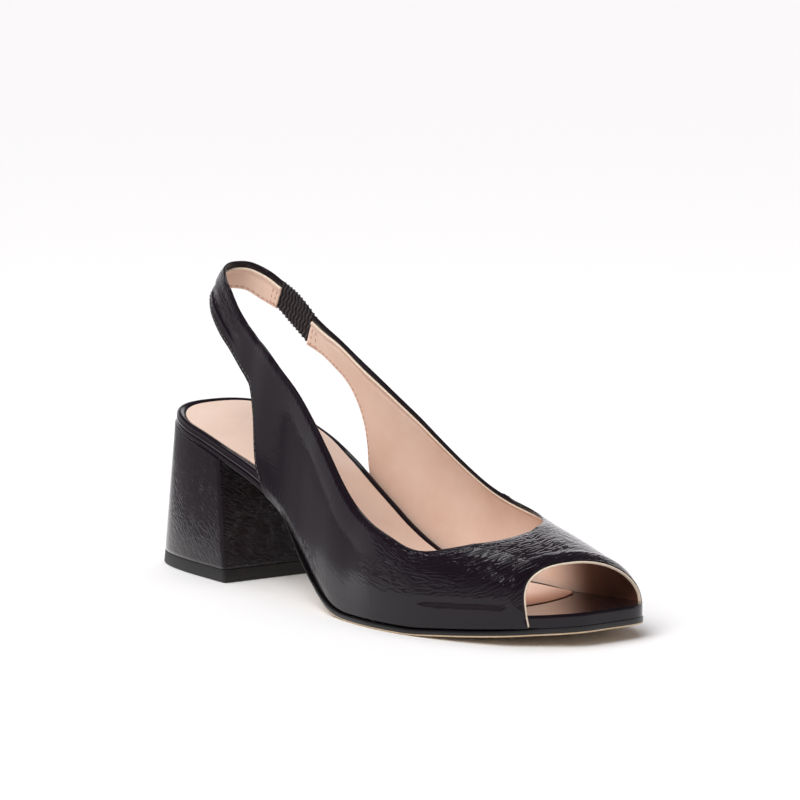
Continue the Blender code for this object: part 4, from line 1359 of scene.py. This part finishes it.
def crinkled_patent(name, strength=1.0, crease=(4.6, 1.7, 2.0), pebble_depth=0.035):
    """Patent leather: black lacquer film over a creased hide.

    The film gives a sharp, dark mirror, and its fine crinkle breaks up the edge of each reflection.
    A crease is given by its length and its width in millimetres and by the detail of its line.
    """
    material, tree, shader = new_material(name, {
        "Base Color": linear("#130b13"), "Roughness": 0.5, "Specular IOR Level": 0.05,
        "Coat Weight": 1.0, "Coat Roughness": 0.04, "Coat IOR": 1.36,
    })
    place = add(tree, "ShaderNodeTexCoord").outputs
    amount = add(tree, "ShaderNodeAttribute", attribute_name="crinkle")
    gather = add(tree, "ShaderNodeAttribute", attribute_name="gather")
    swirl = add(tree, "ShaderNodeTexNoise", {"Vector": place["Object"], "Scale": per_mm(8.0), "Detail": 2.0})

    def stretched(along, across, detail=2.0):
        """Noise drawn out along the leather or across it, bent by the swirl."""
        scaled = add(tree, "ShaderNodeMapping", {
            "Vector": place["UV"], "Scale": (per_mm(along), per_mm(across), 1.0),
        })
        bent = add(tree, "ShaderNodeMixRGB", {
            "Fac": 0.6, "Color1": scaled.outputs["Vector"], "Color2": swirl.outputs["Color"],
        }, blend_type="LINEAR_LIGHT")
        return add(tree, "ShaderNodeTexNoise", {
            "Vector": bent.outputs["Color"], "Scale": 1.0, "Detail": detail, "Roughness": 0.5,
        }).outputs["Fac"]

    # creases follow the middle value of a noise, and are deeper in patches
    off_line = add(tree, "ShaderNodeMath", {0: stretched(*crease), 1: 0.5}, operation="SUBTRACT")
    off_line = add(tree, "ShaderNodeMath", {0: off_line.outputs["Value"]}, operation="ABSOLUTE")
    lines = add(tree, "ShaderNodeMapRange", {
        "Value": off_line.outputs["Value"], "From Min": 0.0, "From Max": 0.16, "To Min": 1.0, "To Max": 0.0,
    }, interpolation_type="SMOOTHSTEP")
    patchy = add(tree, "ShaderNodeMapRange", {
        "Value": swirl.outputs["Fac"], "From Min": 0.35, "From Max": 0.6, "To Min": 0.55, "To Max": 1.0,
    })
    uneven = add(tree, "ShaderNodeMath", {
        0: amount.outputs["Fac"], 1: patchy.outputs["Result"],
    }, operation="MULTIPLY")
    creased = add(tree, "ShaderNodeMath", {
        0: lines.outputs["Result"], 1: uneven.outputs["Value"],
    }, operation="MULTIPLY")
    # gathers lie close together across a turned edge
    teeth = add(tree, "ShaderNodeMapRange", {
        "Value": stretched(0.9, 4.5), "From Min": 0.35, "From Max": 0.65,
    })
    gathered = add(tree, "ShaderNodeMath", {
        0: teeth.outputs["Result"], 1: gather.outputs["Fac"],
    }, operation="MULTIPLY")
    pebble = add(tree, "ShaderNodeTexNoise", {
        "Vector": place["Object"], "Scale": per_mm(1.9), "Detail": 2.0, "Roughness": 0.6,
    })
    normal = None
    for height, depth in (
        (pebble.outputs["Fac"], pebble_depth),
        (gathered.outputs["Value"], 0.1),
        (creased.outputs["Value"], 0.15),
    ):
        relief = {"Height": height, "Strength": 1.0, "Distance": depth * strength * MM}
        if normal:
            relief["Normal"] = normal
        normal = add(tree, "ShaderNodeBump", relief).outputs["Normal"]
    tree.links.new(normal, shader.inputs["Normal"])
    tree.links.new(normal, shader.inputs["Coat Normal"])
    return material


def lining_leather(name, colour, deep, toe):
    """Pigskin lining: matt leather with a fine pored grain, uneven dye and painted shade that browns it
    towards the toe.
    """
    material, tree, shader = new_material(name, {"Roughness": 0.62, "Specular IOR Level": 0.35})
    place = add(tree, "ShaderNodeTexCoord").outputs["Object"]
    cloud = add(tree, "ShaderNodeTexNoise", {
        "Vector": place, "Scale": per_mm(22.0), "Detail": 4.0, "Roughness": 0.6,
    })
    tint = add(tree, "ShaderNodeValToRGB", {"Fac": cloud.outputs["Fac"]})
    set_tones(tint.color_ramp, (0.3, linear(deep)), (0.7, linear(colour)))
    split = add(tree, "ShaderNodeSeparateXYZ", {"Vector": place})
    # painted shade: the colour turns to a shadow brown towards the toe, inside the vamp
    start, end = (x * MM + SHIFT[0] for x in TOE_PAINTED_SHADE_X)
    toe_shade_share = add(tree, "ShaderNodeMapRange", {
        "Value": split.outputs["X"], "From Min": start, "From Max": end,
    }, interpolation_type="SMOOTHSTEP")
    dye_and_toe_shade = add(tree, "ShaderNodeMixRGB", {
        "Fac": toe_shade_share.outputs["Result"], "Color1": tint.outputs["Color"], "Color2": linear(toe),
    })
    tree.links.new(dye_and_toe_shade.outputs["Color"], shader.inputs["Base Color"])
    pores = add(tree, "ShaderNodeTexVoronoi", {"Vector": place, "Scale": per_mm(0.9)})
    grain = add(tree, "ShaderNodeTexNoise", {"Vector": place, "Scale": per_mm(2.6), "Detail": 4.0})
    both = add(tree, "ShaderNodeMath", {
        0: pores.outputs["Distance"], 1: grain.outputs["Fac"],
    }, operation="ADD")
    bump = add(tree, "ShaderNodeBump", {
        "Height": both.outputs["Value"], "Strength": 0.22, "Distance": 0.12 * MM,
    })
    tree.links.new(bump.outputs["Normal"], shader.inputs["Normal"])
    return material


def plain_grain(name, colour, deep, roughness, size, depth):
    """A solid-coloured material with a fine grain of a size and a depth in millimetres.

    Grain finer than about 0.3 mm wouldn't show, so threads and webs are drawn that coarse.
    """
    material, tree, shader = new_material(name, {"Roughness": roughness})
    place = add(tree, "ShaderNodeTexCoord").outputs["Object"]
    grain = add(tree, "ShaderNodeTexNoise", {"Vector": place, "Scale": per_mm(size), "Detail": 3.0})
    tint = add(tree, "ShaderNodeValToRGB", {"Fac": grain.outputs["Fac"]})
    set_tones(tint.color_ramp, (0.35, linear(deep)), (0.65, linear(colour)))
    tree.links.new(tint.outputs["Color"], shader.inputs["Base Color"])
    bump = add(tree, "ShaderNodeBump", {
        "Height": grain.outputs["Fac"], "Strength": 0.4, "Distance": depth * MM,
    })
    tree.links.new(bump.outputs["Normal"], shader.inputs["Normal"])
    return material


# Stage

def make_camera():
    """Camera at the photograph's angle."""
    a, e = math.radians(CAMERA_AZIMUTH), math.radians(CAMERA_ELEVATION)
    back = Vector((math.sin(a) * math.cos(e), -math.cos(a) * math.cos(e), math.sin(e)))
    right = Vector((math.cos(a), math.sin(a), 0.0))
    up = back.cross(right)
    target = Vector(CAMERA_TARGET)
    place = target + back * CAMERA_DISTANCE
    aim = target + right * CAMERA_AIM_RIGHT + up * CAMERA_AIM_UP
    data = bpy.data.cameras.new("camera")
    data.sensor_width = SENSOR
    data.lens = CAMERA_LENS
    data.clip_end = CAMERA_REACH
    camera = bpy.data.objects.new("camera", data)
    camera.location = place * MM + Vector(SHIFT)
    camera.rotation_euler = (aim - place).to_track_quat("-Z", "Y").to_euler()
    bpy.context.scene.collection.objects.link(camera)
    bpy.context.scene.camera = camera


def stage_sheet(name, corners, height, material):
    """A flat sheet of the studio, which isn't part of the shoe."""
    mesh = bpy.data.meshes.new(name)
    mesh.from_pydata([(x, y, height) for x, y in corners], [], [(0, 1, 2, 3)])
    mesh.materials.append(material)
    sheet = bpy.data.objects.new(name, mesh)
    bpy.context.scene.collection.objects.link(sheet)
    return sheet


def make_floor():
    """White studio floor, and a grey card on it beside the shoe for the patent to mirror.

    The card's edge is soft. The card itself is kept out of the picture and casts no shade.
    """
    # painted board: matt, with no mirror image of the shoe
    white, _, _ = new_material("white_studio_floor", {
        "Base Color": linear("#ecebeb"), "Roughness": 0.7, "Specular IOR Level": 0.1,
    })
    half = FLOOR_SIZE / 2
    stage_sheet("floor", [(-half, -half), (half, -half), (half, half), (-half, half)], FLOOR_Z, white)
    # grey paper: it dulls the floor's image in the patent
    grey, tree, shader = new_material("grey_studio_card", {
        "Base Color": linear("#7c797c"), "Roughness": 0.8, "Specular IOR Level": 0.1,
    })
    away, side = from_angles(CARD_BEARING, 0.0), from_angles(CARD_BEARING + 90.0, 0.0) * half / 2
    place = add(tree, "ShaderNodeTexCoord")
    out = add(tree, "ShaderNodeVectorMath", {
        0: place.outputs["Object"], 1: tuple(away),
    }, operation="DOT_PRODUCT")
    start, end = CARD_EDGE
    fade = add(tree, "ShaderNodeMapRange", {
        "Value": out.outputs["Value"], "From Min": start, "From Max": end,
    }, interpolation_type="SMOOTHSTEP")
    tree.links.new(fade.outputs["Result"], shader.inputs["Alpha"])
    near, far = away * start, away * half
    corners = [near - side, far - side, far + side, near + side]
    card = stage_sheet("card", [corner.xy for corner in corners], CARD_Z, grey)
    card.visible_camera = card.visible_diffuse = card.visible_shadow = False


def add_light(name, kind, azimuth, elevation, **settings):
    """A light that shines on the shoe from a bearing and a height."""
    data = bpy.data.lights.new(name, kind)
    for key, value in settings.items():
        setattr(data, key, value)
    light = bpy.data.objects.new(name, data)
    light.rotation_euler = from_angles(azimuth, elevation).to_track_quat("Z", "Y").to_euler()
    bpy.context.scene.collection.objects.link(light)
    return light


def make_world():
    """Pale walls on one side under a dark ceiling, and a faint glow along the horizon."""
    world = bpy.data.worlds.new("studio")
    bpy.context.scene.world = world
    world.use_nodes = True
    tree = world.node_tree
    sky = add(tree, "ShaderNodeTexCoord").outputs["Generated"]
    split = add(tree, "ShaderNodeSeparateXYZ", {"Vector": sky})
    start, end = np.sin(np.radians(WALL_TOP))
    height = add(tree, "ShaderNodeMapRange", {
        "Value": split.outputs["Z"], "From Min": start, "From Max": end, "To Min": 1.0, "To Max": 0.0,
    })
    bearing = add(tree, "ShaderNodeVectorMath", {
        0: sky, 1: tuple(from_angles(WALL_BEARING, 0.0)),
    }, operation="DOT_PRODUCT")
    start, end = WALL_EDGE
    side = add(tree, "ShaderNodeMapRange", {
        "Value": bearing.outputs["Value"], "From Min": start, "From Max": end,
    })
    wall = add(tree, "ShaderNodeMath", {
        0: height.outputs["Result"], 1: side.outputs["Result"],
    }, operation="MULTIPLY")
    behind = add(tree, "ShaderNodeVectorMath", {
        0: sky, 1: tuple(from_angles(GLOW_BEARING, 0.0)),
    }, operation="DOT_PRODUCT")
    (start, end), (low, high) = GLOW_REACH, GLOW
    glow = add(tree, "ShaderNodeMapRange", {
        "Value": behind.outputs["Value"], "From Min": start, "From Max": end, "To Min": low, "To Max": high,
    })
    bright = add(tree, "ShaderNodeMath", {
        0: wall.outputs["Value"], 1: glow.outputs["Result"],
    }, operation="MULTIPLY")
    start, end = np.sin(np.radians(HORIZON_TOP))
    horizon = add(tree, "ShaderNodeMapRange", {
        "Value": split.outputs["Z"], "From Min": start, "From Max": end, "To Min": HORIZON, "To Max": 0.0,
    })
    either = add(tree, "ShaderNodeMath", {
        0: bright.outputs["Value"], 1: horizon.outputs["Result"],
    }, operation="MAXIMUM")
    ramp = add(tree, "ShaderNodeValToRGB", {"Fac": either.outputs["Value"]})
    set_tones(ramp.color_ramp, (0.0, DARK_CEILING), (1.0, PALE_WALL))
    background = tree.nodes["Background"]
    tree.links.new(ramp.outputs["Color"], background.inputs["Color"])
    background.inputs["Strength"].default_value = 1.0


def make_light():
    """The room, two broad fills and two softboxes.

    The fills light the floor and the matt leathers, and leave no mirror image in the patent.
    """
    make_world()
    for name, strength, spread, azimuth, elevation in FILLS:
        fill = add_light(name, "SUN", azimuth, elevation, energy=strength, angle=math.radians(spread))
        fill.visible_glossy = False
    for name, radiance, width, depth, distance, azimuth, elevation in SOFTBOXES:
        sizes = {"shape": "RECTANGLE", "size": width, "size_y": depth}
        power = radiance * math.pi * width * depth
        box = add_light(name, "AREA", azimuth, elevation, energy=power, **sizes)
        box.location = from_angles(azimuth, elevation) * distance
        box.visible_camera = False
    bpy.context.scene.view_settings.view_transform = "Standard"


def from_angles(azimuth, elevation):
    """Direction from its bearing round the shoe and its height above the horizon, in degrees."""
    a, e = math.radians(azimuth), math.radians(elevation)
    return Vector((math.cos(a) * math.cos(e), math.sin(a) * math.cos(e), math.sin(e)))


def main():
    make_camera()
    make_floor()
    make_light()
    # long creases on the upper, short ones on the heel, next to none on the wrap
    patent = crinkled_patent("crinkled_patent_leather", crease=(7.5, 1.6, 0.4), pebble_depth=0.026)
    heel_patent = crinkled_patent("heel_patent_leather")
    smooth_patent = crinkled_patent("wrap_patent_leather", 0.35)
    # one hide for lining and sock, which is a little greyer; both turn to a painted shade towards the toe
    lining = lining_leather("nude_pigskin_lining_toe_shaded", "#ead0c0", "#e1c2af", "#653f2d")
    sock = lining_leather("nude_sock_leather_toe_shaded", "#dec5b6", "#d5baaa", "#b58169")
    # cut leather: pale and dry
    raw_edge = plain_grain("raw_cut_leather_edge", "#f3e3d0", "#e9d2ba", 0.7, 0.6, 0.05)
    # inked edge: black with a low sheen
    edge_ink = plain_grain("black_edge_ink", "#141213", "#0c0b0c", 0.28, 1.2, 0.03)
    # smooth resin sheet: even and satin
    sole_sheet = plain_grain("natural_resin_sole", "#d9c3a4", "#cbb08d", 0.5, 1.5, 0.03)
    # moulded rubber: dull black
    rubber = plain_grain("black_top_piece_rubber", "#1a1819", "#121112", 0.55, 0.8, 0.04)
    # covered rubber yarns: a matt web between cords with a soft sheen; the black cords are painted grey, a
    # painted sheen
    web = plain_grain("black_elastic_web", "#161416", "#0e0d0e", 0.7, 0.35, 0.1)
    rib = plain_grain("black_elastic_cord_painted_sheen", "#4a4549", "#2c292b", 0.5, 0.5, 0.08)
    # spun polyester with a soft sheen; the black thread is painted grey, a painted sheen that lifts it off
    # the leather
    black_thread_painted_sheen = plain_grain("black_polyester_thread_painted_sheen", "#625d5b", "#3c3837", 0.4, 0.3, 0.05)
    nude_thread = plain_grain("nude_polyester_thread", "#c49a84", "#b28770", 0.6, 0.3, 0.05)
    shape = UpperShape()
    cords = line_tree("cord_row", ("Radius",), lay_cord)
    make_leather_upper(shape, patent)
    make_lining(shape, cords, lining, raw_edge)
    make_elastic(shape, cords, web, rib)
    make_stitches(shape, black_thread_painted_sheen, nude_thread)
    make_insole(smooth_patent)
    make_sock(sock)
    make_outsole(edge_ink, sole_sheet)
    make_heel(heel_patent, rubber)


main()
